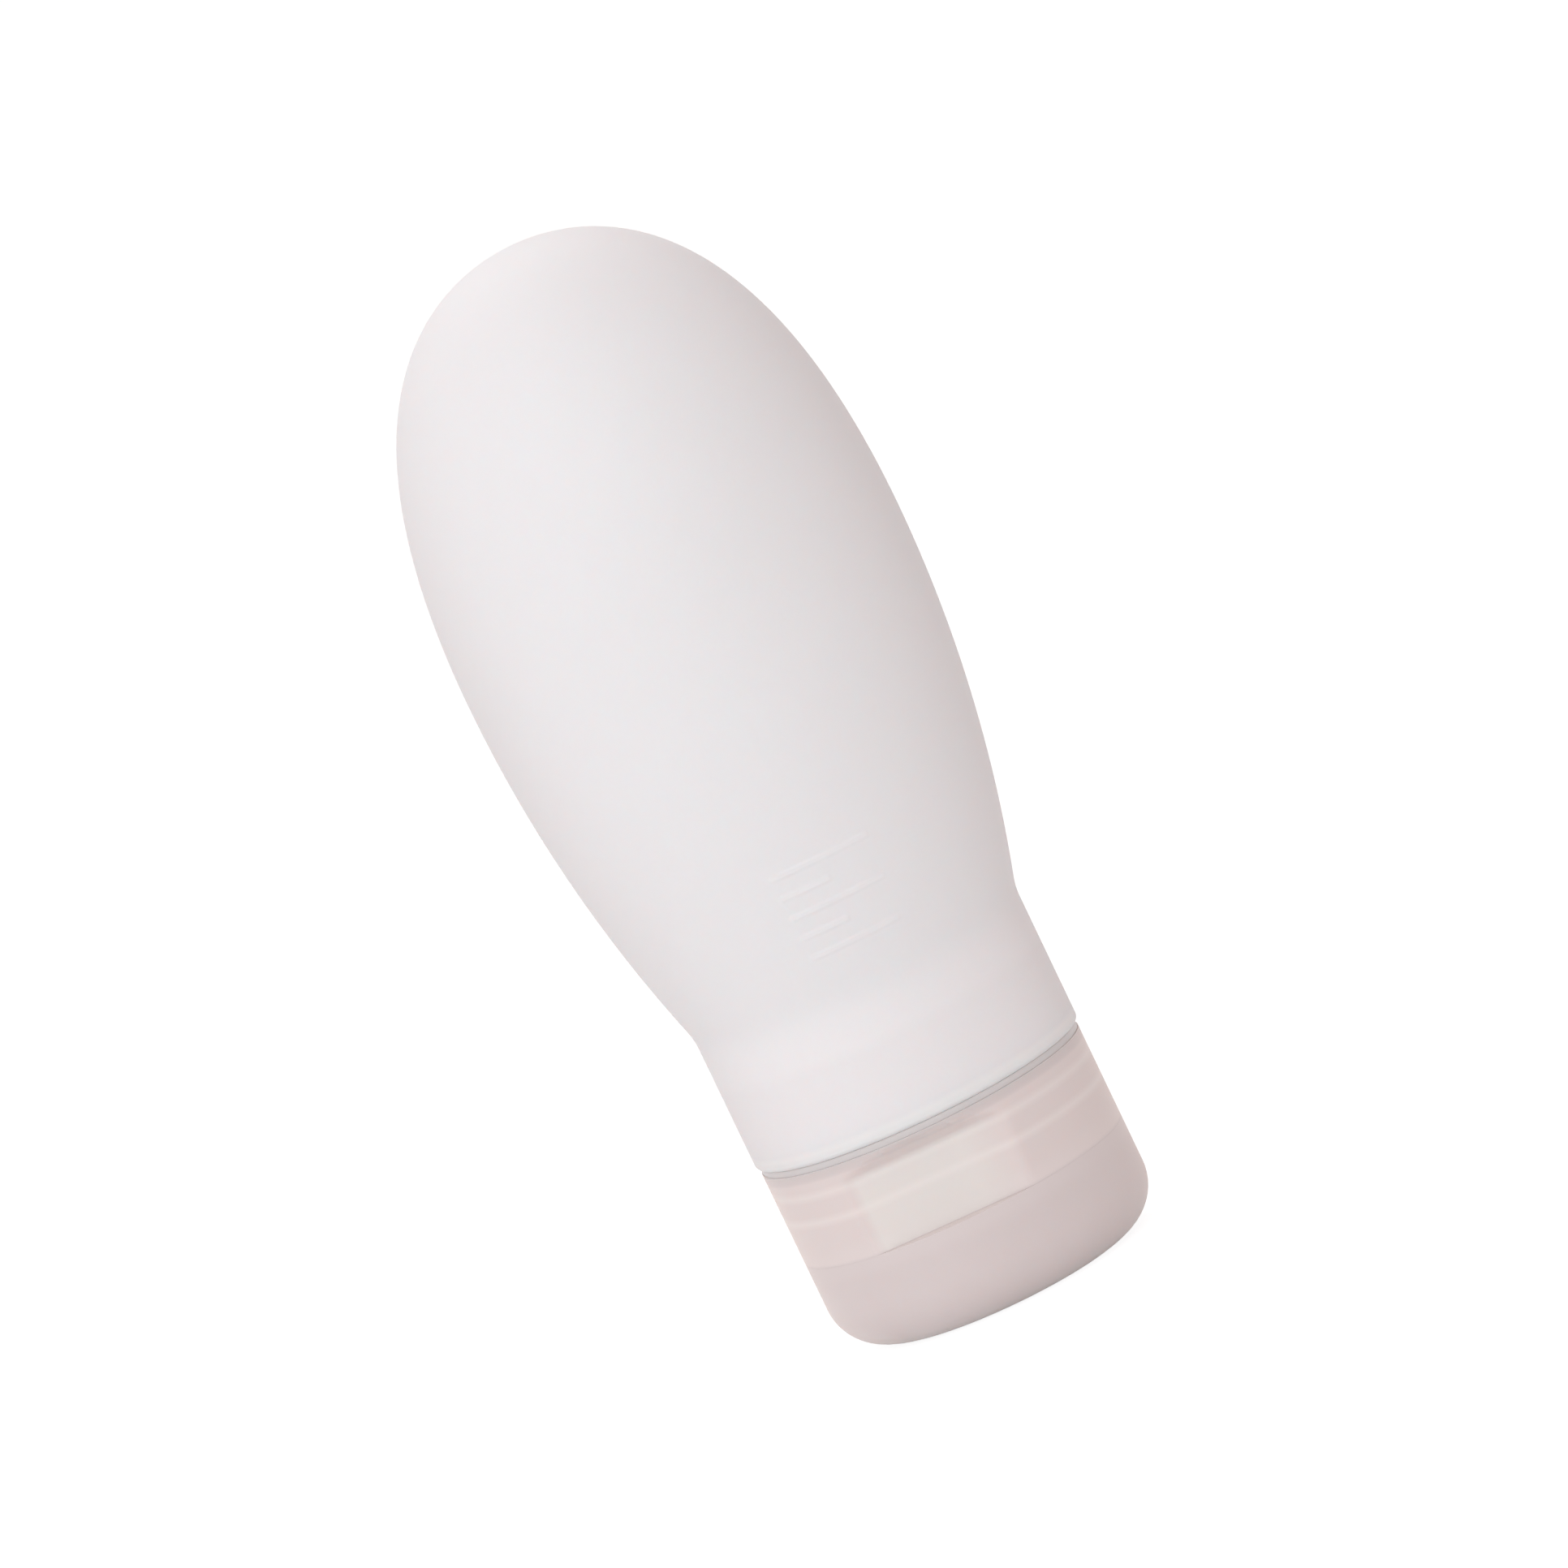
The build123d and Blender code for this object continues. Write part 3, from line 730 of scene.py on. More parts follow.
def body_outline():
    """Section of the body: dome, flank arc, waist blend and skirt outside, bore, flank and dome inside.
    The flank is upright at the widest ring and would meet the skirt's radius at the waist, so its radius is
    (length**2 + drawn_in**2) / (2 * drawn_in). The blend touches flank and skirt: the centres of blend and
    flank lie the sum of their radii apart. The wall inside keeps the flank's centre."""
    body = bpy.context.scene.bottle_body
    waist = SEAM_HEIGHT + body.skirt_length
    widest = waist + body.flank_length
    drawn_in = WIDEST_RADIUS - body.skirt_radius
    flank = (body.flank_length**2 + drawn_in**2) / (2 * drawn_in)
    middle = WIDEST_RADIUS - flank

    reach = flank + body.waist_blend
    blend_across = body.skirt_radius + body.waist_blend - middle
    tilt = math.acos(blend_across / reach)
    blend_height = widest - reach * math.sin(tilt)
    blend_centre = (body.skirt_radius + body.waist_blend, blend_height)

    inside = WIDEST_RADIUS - body.wall
    inner_flank = flank - body.wall
    shelf_tilt = math.acos((body.bore_radius - middle) / inner_flank)
    skirt = [
        (body.skirt_radius, blend_height, 0),
        (body.skirt_radius, SEAM_HEIGHT, body.lip_round),
        (body.bore_radius, SEAM_HEIGHT, body.lip_round / 4),
        (body.bore_radius, widest - inner_flank * math.sin(shelf_tilt), 0),
    ]
    parts = [
        dome_curve(WIDEST_RADIUS, widest, TIP_HEIGHT, OUTER_ROWS),
        arc_between((middle, widest), flank, 0, -tilt, OUTER_ROWS)[1:],
        arc_between(blend_centre, body.waist_blend, math.pi - tilt, math.pi, WAIST_ROWS)[1:],
        refined(rounded(skirt), MESH["squeeze_body"][1])[1:],
        arc_between((middle, widest), inner_flank, -shelf_tilt, 0, INNER_FLANK_ROWS)[1:],
        dome_curve(inside, widest, TIP_HEIGHT - body.wall, INNER_DOME_ROWS)[::-1][1:],
    ]
    return np.concatenate(parts)


def tick_relief(turns, heights):
    """Height of the raised fill marks over a grid of angles and heights. Each mark is a level line with
    round ends, long and short by turns from one left edge: its profile falls off with the distance from the
    line's middle stretch."""
    body = bpy.context.scene.bottle_body
    around = (turns + math.pi / 2 - body.tick_turn + math.pi) % FULL_TURN - math.pi
    across = around * body.tick_radius
    relief = np.zeros(np.broadcast(across, heights).shape)
    for index in range(body.tick_count):
        level = body.tick_height + (index - (body.tick_count - 1) / 2) * body.tick_spacing
        wide = body.tick_long if index % 2 == 0 else body.tick_short
        middle = (wide - body.tick_long) / 2
        half = (wide - body.tick_line) / 2
        beyond = np.clip(np.abs(across - middle) - half, 0, None)
        distance = np.hypot(beyond, heights - level)
        ridge = 1 - soft_step(distance, body.tick_line / 2, body.tick_line / 4)
        relief = np.maximum(relief, ridge * body.tick_relief)
    return relief


class BOTTLE_OT_squeeze_body(bpy.types.Operator):
    """Build the hollow silicone body with its raised fill marks"""

    bl_idname = "bottle.squeeze_body"
    bl_label = "Squeeze Body"

    def execute(self, context):
        body = context.scene.bottle_body
        outline = body_outline()
        # Finer rows across the fill marks, and then finer columns
        reach = (body.tick_count - 1) * body.tick_spacing / 2 + 2 * body.tick_line + TICK_MARGIN
        on_outside = np.arange(len(outline)) < np.argmin(outline[:, 1])
        near = on_outside & (np.abs(outline[:, 1] - body.tick_height) < reach)
        first, last = np.flatnonzero(near)[[0, -1]]
        fine = refined(outline[first : last + 1], TICK_STEP)
        outline = np.concatenate([outline[:first], fine, outline[last + 1 :]])

        half = body.tick_long / body.skirt_radius / 2 + TICK_MARGIN_TURN
        turns = focused_turns(MESH["squeeze_body"][0], (body.tick_turn - math.pi / 2, half, TICK_TURN))
        grid = carried_round(outline, turns)
        rows = slice(first, first + len(fine))
        relief = tick_relief(turns[None], outline[rows, 1][:, None])
        grid[rows] += swept_round(relief, 0, turns)
        piece = poled_piece("squeeze_body", grid)
        seat(piece, "bottle", "body_silicone", silicone_finish(), "silicone_body")
        return {"FINISHED"}


# Neck collar and thread


def collar_corners():
    """Section of the collar: finish, flange and barbed barrel outside, stepped bore inside."""
    collar = bpy.context.scene.bottle_collar
    flange_edge = bpy.context.scene.bottle_cap.parting_edge
    flange_low = SEAM_HEIGHT - collar.flange_thickness
    bore = collar.barrel_radius - collar.barrel_wall
    corners = [
        (collar.mouth_radius, FINISH_LOW, collar.edge * 2),
        (collar.finish_radius, FINISH_LOW, collar.edge * 2),
        (collar.finish_radius, flange_low, collar.edge),
        (FLANGE_RADIUS, flange_low, flange_edge),
        (FLANGE_RADIUS, SEAM_HEIGHT, flange_edge),
        (collar.barrel_radius, SEAM_HEIGHT, 0),
    ]
    for index in range(collar.barb_count):
        low = SEAM_HEIGHT + collar.barb_start + index * collar.barb_pitch
        corners += [
            (collar.barrel_radius, low, 0),
            (collar.barrel_radius + collar.barb_height, low, 0),
            (collar.barrel_radius + collar.barb_height, low + collar.barb_land, 0),
            (collar.barrel_radius, low + collar.barb_length, 0),
        ]
    corners += [
        (collar.barrel_radius, BARREL_HIGH, collar.edge * 2),
        (bore, BARREL_HIGH, collar.edge * 2),
        (bore, SEAM_HEIGHT, 0),
        (collar.mouth_radius, flange_low, 0),
    ]
    return corners


def thread_ridge(name, radius, height, low, phase):
    """One thread ridge: a four-sided section with its root in the wall, carried along a right-handed helix
    that climbs by the lead in each turn. Its height eases to nothing at both ends, its width to a share."""
    collar = bpy.context.scene.bottle_collar
    along = np.linspace(0, 1, THREAD_COLUMNS)
    turn = phase + along * collar.thread_turns * FULL_TURN
    climb = low + along * collar.thread_turns * collar.thread_lead
    ease = soft_step(along, THREAD_FADE, THREAD_FADE) * soft_step(1 - along, THREAD_FADE, THREAD_FADE)
    sink = -THREAD_SINK * height
    corners = [
        (sink, -collar.thread_root / 2, 0),
        (height, -collar.thread_crest / 2, abs(height) / 5),
        (height, collar.thread_crest / 2, abs(height) / 5),
        (sink, collar.thread_root / 2, 0),
    ]
    section = rounded(corners, steps=3)
    out = radius + section[:, :1] * np.where(section[:, :1] * height > 0, ease, 1)
    rise = climb + section[:, 1:] * (THREAD_END + (1 - THREAD_END) * ease)
    grid = swept_round(out, rise, turn).transpose(1, 0, 2)
    first, last = (np.broadcast_to(row.mean(axis=0), (1, *row.shape)) for row in (grid[0], grid[-1]))
    return poled_piece(name, np.concatenate([first, grid, last]))


def add_thread(name, radius, height, low, *place):
    """All ridges of a thread, evenly placed round the axis, each seated at the place given."""
    starts = bpy.context.scene.bottle_collar.thread_starts
    for start in range(starts):
        seat(thread_ridge(f"{name}_{start + 1}", radius, height, low, start * FULL_TURN / starts), *place)


class BOTTLE_OT_neck_collar(bpy.types.Operator):
    """Build the barbed collar and the thread on its neck finish"""

    bl_idname = "bottle.neck_collar"
    bl_label = "Neck Collar"

    def execute(self, context):
        collar = context.scene.bottle_collar
        place = "bottle", "collar_plastic", collar_finish()
        seat(turned_ring("neck_collar_ring", collar_corners(), steps=4), *place, "neck_collar")
        low = FINISH_LOW + collar.thread_root
        add_thread("neck_thread", collar.finish_radius, collar.thread_height, low, *place)
        return {"FINISHED"}


class BOTTLE_OT_neck_gasket(bpy.types.Operator):
    """Build the sealing ring on the cap's deck"""

    bl_idname = "bottle.neck_gasket"
    bl_label = "Neck Gasket"

    def execute(self, context):
        inner = GASKET_RADIUS - context.scene.bottle_cap.gasket_width
        edge = (GASKET_HIGH - GASKET_LOW) / 5
        corners = [
            (inner, GASKET_LOW, edge),
            (GASKET_RADIUS, GASKET_LOW, edge),
            (GASKET_RADIUS, GASKET_HIGH, edge),
            (inner, GASKET_HIGH, edge),
        ]
        ring = turned_ring("sealing_ring", corners, steps=5)
        seat(ring, "seal", "seal_silicone", seal_finish(), "neck_gasket")
        return {"FINISHED"}


# Screw cap


def cap_levels():
    """Heights of the cap, worked up from the lid's rim."""
    cap = bpy.context.scene.bottle_cap
    base_low = cap.lid_top + cap.parting_gap
    deck_low = base_low - cap.spigot_depth
    return base_low, deck_low, deck_low + cap.deck_thickness, base_low + cap.web_thickness


def cap_outline():
    """Section of the screw cap, from the orifice up the threaded skirt, over the outer skirt and its step,
    and down the nozzle to the seat."""
    cap = bpy.context.scene.bottle_cap
    collar = bpy.context.scene.bottle_collar
    base_low, deck_low, deck_high, web_high = cap_levels()
    inner_high = BASE_HIGH - cap.inner_relief
    rim_high = SEAM_HEIGHT - collar.flange_thickness - cap.shut_gap
    inner_radius = cap.inner_bore + cap.inner_wall
    fine = cap.edge / 2
    middle = (RETAINER_LOW + RETAINER_HIGH) / 2
    corners = [
        (cap.orifice_radius, deck_high, fine),
        (cap.inner_bore, deck_high, fine),
        (cap.inner_bore, inner_high, cap.edge),
        (inner_radius, inner_high, cap.edge),
        (inner_radius, web_high, fine),
        (CAP_RADIUS - cap.outer_wall, web_high, fine),
        (CAP_RADIUS - cap.outer_wall, rim_high, cap.edge),
        (CAP_RADIUS, rim_high, cap.parting_edge),
        (CAP_RADIUS, base_low, cap.parting_edge),
        (cap.spigot_radius, base_low, fine / 2),
        (cap.spigot_radius, deck_low, cap.edge),
        (cap.nozzle_radius, deck_low, cap.edge),
        (cap.nozzle_radius, NOZZLE_LOW, cap.edge * 1.4),
        (cap.seat_radius, NOZZLE_LOW, fine / 2),
        (cap.seat_radius, middle, 0),
        (cap.seat_radius, deck_low, 0),
        (cap.orifice_radius, deck_low, fine),
    ]
    return refined(rounded(corners, steps=5), MESH["screw_cap"][1], closed=True)


def flat_limit(distance, facing, near=True):
    """Radius of a flat at a distance from the axis: distance / facing. Where it isn't near, no limit."""
    near = near & (facing > LEAST_FACING)
    return np.where(near, distance / np.clip(facing, LEAST_FACING, 1), 2 * CAP_RADIUS)


def recess_limit(turns, heights):
    """Radius of the thumb recess's flat: its distance from the axis over the cosine of the angle from the
    front. Above the recess the flat runs out along a slope."""
    cap = bpy.context.scene.bottle_cap
    base_low = cap_levels()[0]
    flat = math.sqrt(CAP_RADIUS**2 - (cap.recess_width / 2) ** 2)
    face = flat - (heights - base_low) * math.tan(cap.recess_lean)
    high = base_low + cap.recess_height
    slope = flat - cap.recess_height * math.tan(cap.recess_lean) + (heights - high) / math.tan(cap.recess_top)
    distance = -soft_min(-face, -slope, 3 * cap.recess_soft)
    return flat_limit(distance, -np.sin(turns))


def relief_limit(turns, heights, low, high):
    """Radius left beside a hinge knuckle, between two places along the pin: the near side of a round room
    about the pin, back - sqrt(room**2 - (height - hinge height)**2)."""
    cap = bpy.context.scene.bottle_cap
    room = cap.knuckle_radius + cap.knuckle_relief
    inside = np.clip(room**2 - (heights - HINGE_HEIGHT) ** 2, 0, None)
    aside = CAP_RADIUS * np.abs(np.cos(turns))
    near = (inside > 0) & (aside > low) & (aside < high)
    return flat_limit(HINGE_BACK - np.sqrt(inside), np.sin(turns), near)


def cut_back(radii, heights, limit, inner, level, wall):
    """Outer wall kept inside a limit that is worked out from the height. The flat edge at the level, between
    the inner radius and the wall, is drawn in evenly:
    inner + (radius - inner) * (reach - inner) / (side - inner)."""
    cap = bpy.context.scene.bottle_cap
    kept = soft_min(radii, limit(heights), cap.recess_soft)
    reach = soft_min(CAP_RADIUS, limit(level + 0 * radii[:1]), cap.recess_soft)
    drawn = inner + (radii - inner) * (reach - inner) / (CAP_RADIUS - inner)
    on_edge = (np.abs(heights - level) < cap.edge * 1.01) & (radii > inner)
    on_wall = radii > CAP_RADIUS - wall / 2
    return np.where(on_edge, drawn, np.where(on_wall, kept, radii))


def knuckle_piece(name, low, high, start, end, bore):
    """Knuckle with its web: the hull of the knuckle's circle and the web's root, by its furthest point in
    every direction, drawn out along X with rounded ends and bored for the pin."""
    cap = bpy.context.scene.bottle_cap
    turns = even_turns(KNUCKLE_COLUMNS)
    directions = np.stack([np.cos(turns), np.sin(turns)], axis=-1)
    centre = np.array([HINGE_BACK, HINGE_HEIGHT])
    back = CAP_RADIUS - cap.root_depth
    roots = np.array([(back + side * cap.root_depth / 2, level) for side in (-1, 1) for level in (low, high)])
    circle = centre + cap.knuckle_radius * directions
    points = np.concatenate([circle[:, None], np.broadcast_to(roots, (len(turns), 4, 2))], axis=1)
    furthest = (points * directions[:, None]).sum(axis=2).argmax(axis=1)
    outline = points[np.arange(len(turns)), furthest]

    ease = np.linspace(0, math.pi / 2, 5)
    inset = cap.edge * np.concatenate([1 - np.sin(ease), 1 - np.cos(ease)])
    ends = [start + cap.edge * (1 - np.cos(ease)), end - cap.edge * (1 - np.sin(ease)), [end, start]]
    hole = centre + bore * directions
    sections = np.concatenate([outline - inset[:, None, None] * directions, hole[None], hole[None]])
    along = np.broadcast_to(np.concatenate(ends)[:, None], sections.shape[:2])
    return ring_piece(name, np.stack([along, sections[..., 0], sections[..., 1]], axis=-1))


def gap_floor(turns, web_high):
    """Height of the floor between the two skirts: the web, raised to a solid wall behind recess and hinge
    by web + behind * (wall - web), where behind eases from 1 to 0 beside each."""
    cap = bpy.context.scene.bottle_cap
    across = np.abs(CAP_RADIUS * np.cos(turns))
    wall_high = BASE_HIGH - cap.inner_relief - cap.edge
    recess_wall = min(cap_levels()[0] + cap.recess_height + cap.outer_wall, wall_high)
    floor = web_high
    for side, half, high in ((-1, cap.recess_width / 2, recess_wall), (1, HINGE_HALF_WIDTH, wall_high)):
        behind = (side * np.sin(turns) > 0) * (1 - soft_step(across, half + cap.outer_wall, cap.edge))
        floor = np.maximum(floor, web_high + behind * (high - web_high))
    return floor


class BOTTLE_OT_screw_cap(bpy.types.Operator):
    """Build the screw cap with its recess, nozzle, thread and hinge ears"""

    bl_idname = "bottle.screw_cap"
    bl_label = "Screw Cap"

    def execute(self, context):
        cap = context.scene.bottle_cap
        collar = context.scene.bottle_collar
        outline = cap_outline()
        spans = (-math.pi / 2, RECESS_SPAN, FINE_TURN), (math.pi / 2, HINGE_SPAN, FINE_TURN)
        turns = focused_turns(MESH["screw_cap"][0], *spans)
        radii = outline[:, :1] + 0 * turns
        base_low, _, _, web_high = cap_levels()
        in_gap = (
            (outline[:, :1] > cap.inner_bore + cap.inner_wall - cap.edge)
            & (outline[:, :1] < CAP_RADIUS - cap.outer_wall + cap.edge)
            & (outline[:, 1:] > web_high - cap.edge / 4)
        )
        heights = np.where(in_gap, np.maximum(outline[:, 1:], gap_floor(turns, web_high)), outline[:, 1:])
        lid_half = HINGE_HALF_WIDTH - cap.ear_length

        def limit(at):
            return np.minimum(recess_limit(turns[None], at), relief_limit(turns[None], at, 0, lid_half))

        radii = cut_back(radii, heights, limit, cap.spigot_radius, base_low, cap.outer_wall)
        place = "cap", "cap_plastic", cap_finish()
        seat(ring_piece("screw_cap", swept_round(radii, heights, turns)), *place, "cap_base")

        for side in (-1, 1):
            start, end = sorted((side * lid_half, side * HINGE_HALF_WIDTH))
            name = "hinge_ear_left" if side < 0 else "hinge_ear_right"
            seat(knuckle_piece(name, base_low, base_low + cap.ear_rise, start, end, PIN_RADIUS), *place)

        spacing = collar.thread_lead / collar.thread_starts
        low = FINISH_LOW + collar.thread_root + spacing * CAP_THREAD_PLACE
        add_thread("cap_thread", cap.inner_bore, -collar.thread_height, low, *place)
        return {"FINISHED"}


class BOTTLE_OT_drip_valve(bpy.types.Operator):
    """Finish the slit valve and build the ring that holds it"""

    bl_idname = "bottle.drip_valve"
    bl_label = "Drip Valve"

    def execute(self, context):
        cap = context.scene.bottle_cap
        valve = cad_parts["drip_valve"]
        valve.data.materials.clear()
        valve.data.materials.append(seal_finish())
        inner = cap.seat_radius - cap.retainer_width
        middle = (RETAINER_LOW + RETAINER_HIGH) / 2
        edge = cap.edge
        corners = [
            (inner, RETAINER_LOW, edge * 1.2),
            (cap.seat_radius, RETAINER_LOW, edge / 3),
            (cap.seat_radius, middle - edge, 0),
            (BEAD_RADIUS, middle, edge / 3),
            (cap.seat_radius, middle + edge, 0),
            (cap.seat_radius, RETAINER_HIGH, 0),
            (inner, RETAINER_HIGH, 0),
        ]
        ring = turned_ring("snap_ring", corners, steps=5)
        seat(ring, "cap", "collar_plastic", collar_finish(), "valve_retainer")
        return {"FINISHED"}


# Flip lid


def lid_outline():
    """Section of the lid: dimpled flat end, round corner and wall outside, then the snap bead, the floor and
    the boss inside."""
    cap = bpy.context.scene.bottle_cap
    bore = CAP_RADIUS - cap.lid_wall
    rim_high = cap_levels()[0] - cap.shut_gap
    bead = cap.spigot_radius + cap.bead_gap
    corners = [
        (0, cap.gate_depth, 0),
        (cap.gate_radius * 0.6, cap.gate_depth, cap.edge),
        (cap.gate_radius, 0, cap.edge),
        (CAP_RADIUS, 0, cap.lid_corner),
        (CAP_RADIUS, rim_high, cap.parting_edge),
        (bead, rim_high, cap.parting_edge),
        (bead, rim_high - cap.bead_height, cap.edge / 2),
        (bore, rim_high - 2 * cap.bead_height, cap.edge),
        (bore, cap.lid_floor, cap.lid_corner - cap.lid_wall),
        (cap.boss_root, cap.lid_floor, cap.edge * 2),
        (cap.boss_tip, cap.boss_high, cap.edge * 2.4),
        (0, cap.boss_high, 0),
    ]
    return refined(rounded(corners, steps=14), MESH["lid_cup"][1])


class BOTTLE_OT_flip_lid(bpy.types.Operator):
    """Build the flip lid with its seal boss and hinge knuckle"""

    bl_idname = "bottle.flip_lid"
    bl_label = "Flip Lid"

    def execute(self, context):
        cap = context.scene.bottle_cap
        outline = lid_outline()
        turns = focused_turns(MESH["lid_cup"][0], (math.pi / 2, LID_SPAN, FINE_TURN))
        radii = outline[:, :1] + 0 * turns
        heights = outline[:, 1:] + 0 * turns
        lid_half = HINGE_HALF_WIDTH - cap.ear_length - cap.knuckle_gap
        far = HINGE_HALF_WIDTH + cap.knuckle_gap

        def limit(at):
            return relief_limit(turns[None], at, lid_half, far)

        rim_high = cap_levels()[0] - cap.shut_gap
        radii = cut_back(radii, heights, limit, CAP_RADIUS - cap.lid_wall, rim_high, cap.lid_wall)
        place = "lid", "cap_plastic", cap_finish()
        seat(poled_piece("lid_cup", swept_round(radii, heights, turns)), *place, "flip_lid")
        low, bore = cap.lid_top - cap.lug_drop, PIN_RADIUS + cap.pin_gap
        seat(knuckle_piece("lid_knuckle", low, cap.lid_top, -lid_half, lid_half, bore), *place)
        return {"FINISHED"}


class BOTTLE_OT_hinge_pin(bpy.types.Operator):
    """Build the hinge pin"""

    bl_idname = "bottle.hinge_pin"
    bl_label = "Hinge Pin"

    def execute(self, context):
        chamfer = PIN_RADIUS / 5
        half = HINGE_HALF_WIDTH
        columns, longest = MESH["lid_pin"]
        corners = [(0, -half, 0), (PIN_RADIUS, -half, chamfer), (PIN_RADIUS, half, chamfer), (0, half, 0)]
        grid = carried_round(refined(rounded(corners, steps=5), longest), even_turns(columns))
        grid = np.stack([grid[..., 2], grid[..., 0] + HINGE_BACK, grid[..., 1] + HINGE_HEIGHT], axis=-1)
        seat(poled_piece("lid_pin", grid), "cap", "pin_steel", pin_finish(), "hinge_pin")
        return {"FINISHED"}


# Studio


def background_rays(tree):
    """Socket that is 1 for rays that look at the background: from the camera, by gloss or through glass."""
    rays = tree.nodes.new("ShaderNodeLightPath").outputs
    mirrored = math_node(tree, "MAXIMUM", rays["Is Glossy Ray"], rays["Is Transmission Ray"])
    return math_node(tree, "MAXIMUM", rays["Is Camera Ray"], mirrored)


def floor_finish():
    """Pale floor. The camera sees it white with the bottle's soft shadow, and from below it isn't there."""
    material = bpy.data.materials.new("studio_floor")
    material.use_nodes = True
    tree = material.node_tree
    tree.nodes.clear()
    diffuse = add_node(tree, "BsdfDiffuse", Color=(0.92, 0.92, 0.92, 1)).outputs[0]
    seen = add_node(tree, "BsdfDiffuse", Color=(0.25, 0.25, 0.25, 1)).outputs[0]
    glow = add_node(tree, "Emission", Color=(1, 1, 1, 1), Strength=0.9).outputs[0]
    both = add_node(tree, "AddShader", seen, glow).outputs[0]
    above = add_node(tree, "MixShader", background_rays(tree), diffuse, both).outputs[0]
    below = tree.nodes.new("ShaderNodeNewGeometry").outputs["Backfacing"]
    clear = tree.nodes.new("ShaderNodeBsdfTransparent").outputs[0]
    surface = add_node(tree, "MixShader", below, above, clear).outputs[0]
    add_node(tree, "OutputMaterial", Surface=surface)
    return material


def studio_world(strength, tint):
    """Even, faintly warm world light that the camera, gloss and glass see as white."""
    world = bpy.data.worlds.new("studio_world")
    bpy.context.scene.world = world
    world.use_nodes = True
    tree = world.node_tree
    even = (*(strength * part for part in tint), 1)
    feed(tree, tree.nodes["Background"], Color=mixed(tree, background_rays(tree), even, (1, 1, 1, 1)))


def softbox(name, place, aim, size, power, tint):
    """Square area light at a place, turned to its aim."""
    light = bpy.data.lights.new(name, "AREA")
    light.shape = "SQUARE"
    light.size = size
    light.energy = power
    light.color = tint
    box = bpy.data.objects.new(name, light)
    bpy.context.scene.collection.objects.link(box)
    box.location = place
    box.rotation_euler = (aim - place).to_track_quat("-Z", "Y").to_euler()


def view_axes():
    """Unit vectors of the unrolled view: towards the camera, right and up."""
    studio = bpy.context.scene.bottle_studio
    side = Vector((math.cos(studio.azimuth), math.sin(studio.azimuth), 0))
    level = Vector((math.sin(studio.azimuth), -math.cos(studio.azimuth), 0))
    away = level * math.cos(studio.elevation) + Vector((0, 0, math.sin(studio.elevation)))
    return away, side, away.cross(side)


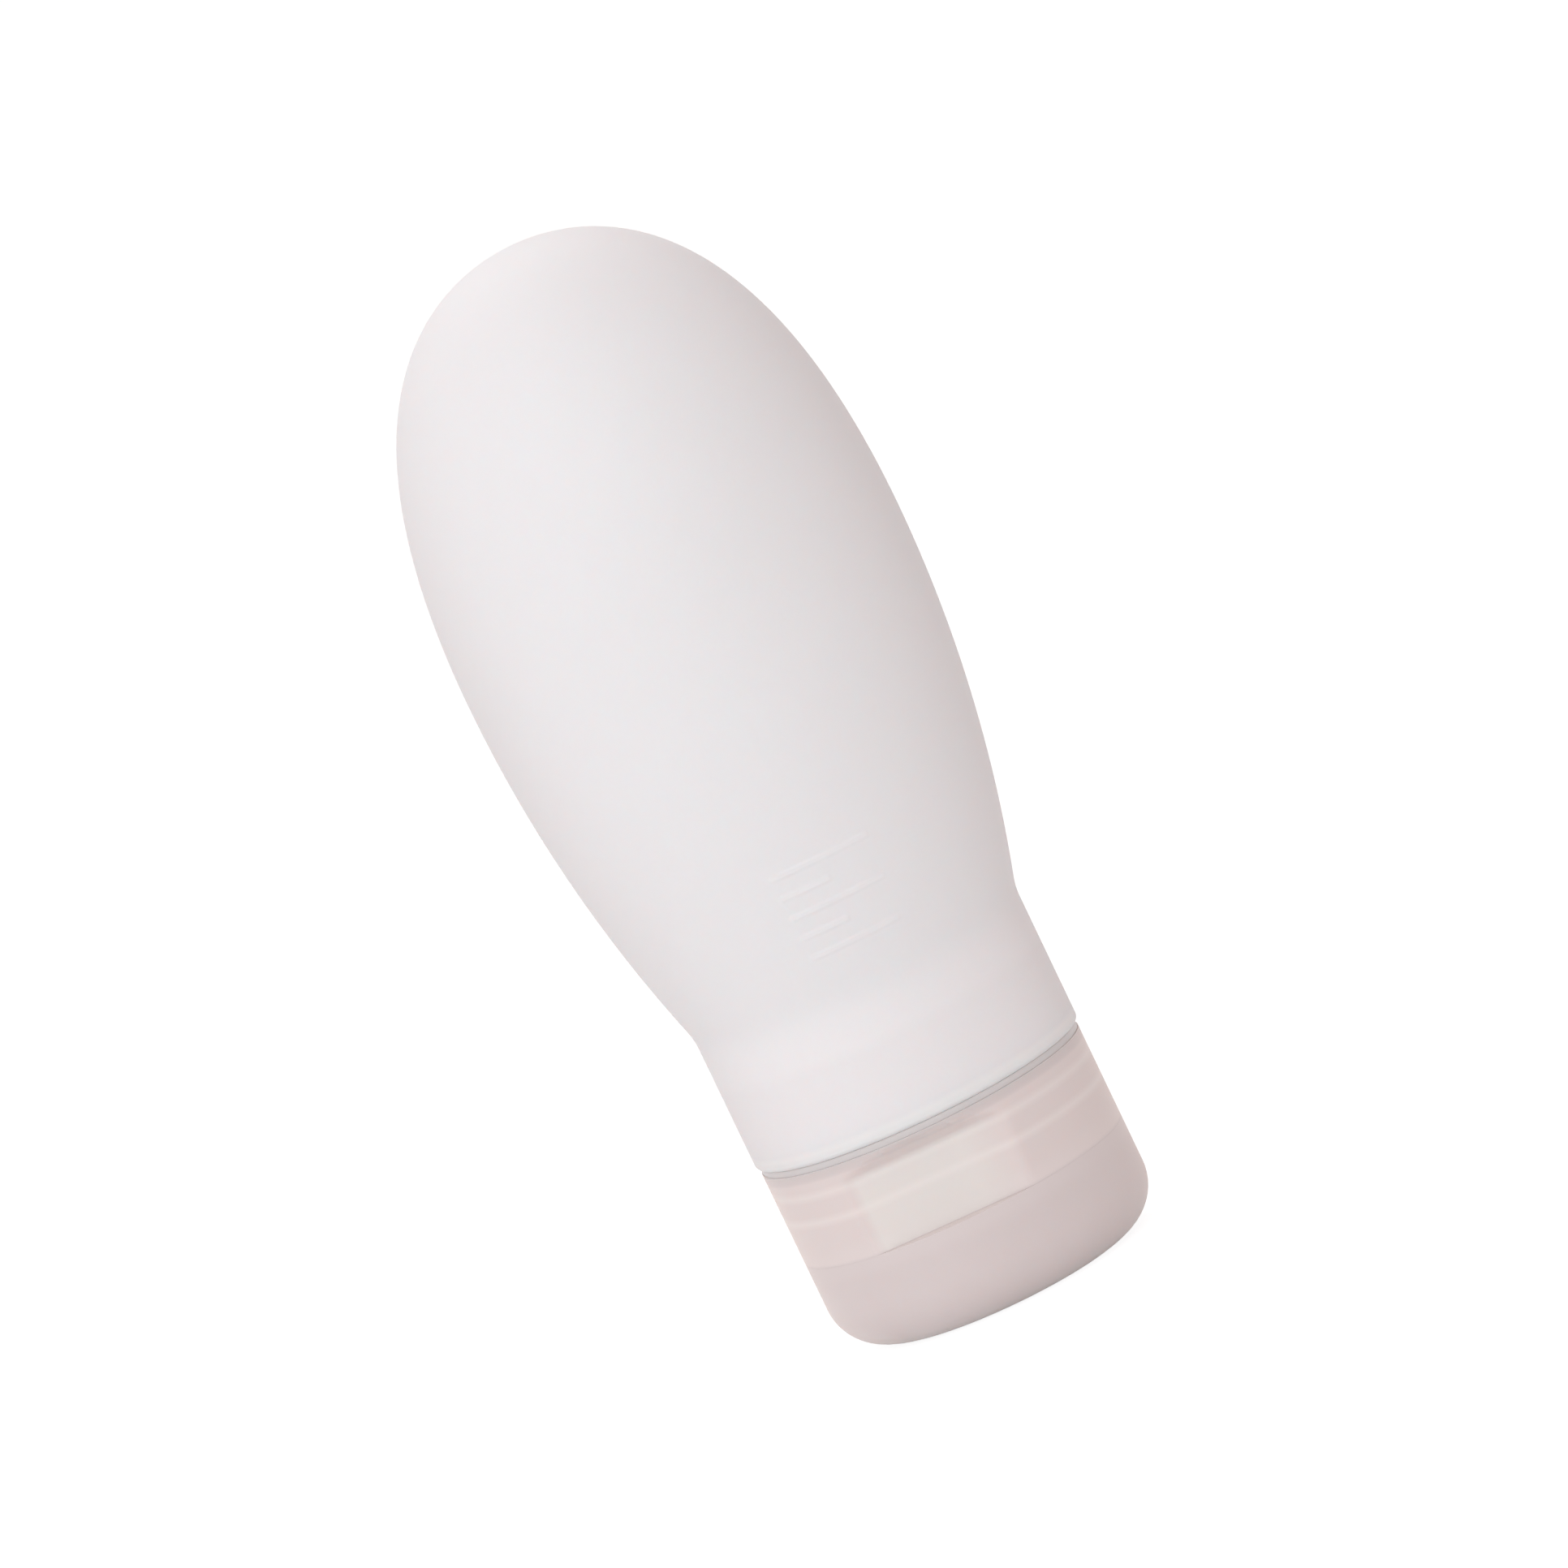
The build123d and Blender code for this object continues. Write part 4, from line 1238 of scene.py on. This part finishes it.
class BOTTLE_OT_studio(bpy.types.Operator):
    """Set the camera, softboxes, floor and world"""

    bl_idname = "bottle.studio"
    bl_label = "Studio"

    def execute(self, context):
        scene = context.scene
        studio = scene.bottle_studio
        away, side, up = view_axes()
        aim = Vector((0, 0, studio.aim_height)) + side * studio.aim_side
        lean_side = side * math.cos(studio.roll) - up * math.sin(studio.roll)
        lean_up = side * math.sin(studio.roll) + up * math.cos(studio.roll)
        lens = bpy.data.cameras.new("photo_camera")
        lens.sensor_width = 36.0
        lens.lens = lens.sensor_width * studio.distance / studio.view_width
        lens.clip_start, lens.clip_end = 0.01, 4 * studio.floor_reach
        camera = bpy.data.objects.new("photo_camera", lens)
        scene.collection.objects.link(camera)
        turned = Matrix((lean_side, lean_up, away)).transposed().to_4x4()
        camera.matrix_world = Matrix.Translation(aim + away * studio.distance) @ turned
        scene.camera = camera

        # Metres from the bottle's middle towards the camera, to the right and up, and the power
        middle = Vector((0, 0, TIP_HEIGHT / 2))
        softboxes = {
            "front_softbox": (0.7, -0.1, 0.25, studio.front_power),
            "left_softbox": (0.1, -0.7, 0.1, studio.left_power),
            "top_softbox": (0.15, -0.15, 0.7, studio.top_power),
            "back_softbox": (-0.4, 0, 0.6, studio.back_power),
        }
        for name, (near, right, high, power) in softboxes.items():
            place = middle + away * near + side * right + Vector((0, 0, high))
            softbox(name, place, middle, studio.box_size, power, studio.light_tint)
        studio_world(studio.world_strength, studio.world_tint)

        reach = studio.floor_reach
        corners = [(x * reach, y * reach, -FLOOR_DROP) for x, y in ((-1, -1), (1, -1), (1, 1), (-1, 1))]
        mesh = bpy.data.meshes.new("studio_floor")
        mesh.from_pydata(corners, [], [(0, 1, 2, 3)])
        floor = bpy.data.objects.new("studio_floor", mesh)
        floor.data.materials.append(floor_finish())
        scene.collection.objects.link(floor)
        scene.view_settings.view_transform = "Standard"
        return {"FINISHED"}


class BOTTLE_PT_sidebar(bpy.types.Panel):
    """Lists the pieces of the bottle and their sizes"""

    bl_label = "Squeeze Bottle"
    bl_idname = "BOTTLE_PT_sidebar"
    bl_space_type = "VIEW_3D"
    bl_region_type = "UI"
    bl_category = "Bottle"

    def draw(self, context):
        layout = self.layout
        for operator in OPERATORS:
            layout.operator(operator.bl_idname)
        for name, group in SETTINGS:
            box = layout.box()
            box.label(text=group.__doc__)
            for prop in group.__annotations__:
                box.prop(getattr(context.scene, name), prop)


OPERATORS = (
    BOTTLE_OT_studio,
    BOTTLE_OT_squeeze_body,
    BOTTLE_OT_neck_collar,
    BOTTLE_OT_neck_gasket,
    BOTTLE_OT_screw_cap,
    BOTTLE_OT_drip_valve,
    BOTTLE_OT_flip_lid,
    BOTTLE_OT_hinge_pin,
)


def register():
    """Registers the classes and hangs their settings on the scene."""
    for name, group in SETTINGS:
        bpy.utils.register_class(group)
        setattr(bpy.types.Scene, name, bpy.props.PointerProperty(type=group))
    for operator in OPERATORS:
        bpy.utils.register_class(operator)
    bpy.utils.register_class(BOTTLE_PT_sidebar)


def unregister():
    """Takes away what register added."""
    bpy.utils.unregister_class(BOTTLE_PT_sidebar)
    for operator in reversed(OPERATORS):
        bpy.utils.unregister_class(operator)
    for name, group in reversed(SETTINGS):
        delattr(bpy.types.Scene, name)
        bpy.utils.unregister_class(group)


def main():
    """Registers the settings and builds the studio and every piece."""
    register()
    bpy.ops.bottle.studio()
    bpy.ops.bottle.squeeze_body()
    bpy.ops.bottle.neck_collar()
    bpy.ops.bottle.neck_gasket()
    bpy.ops.bottle.screw_cap()
    bpy.ops.bottle.drip_valve()
    bpy.ops.bottle.flip_lid()
    bpy.ops.bottle.hinge_pin()


if __name__ == "__main__":
    main()
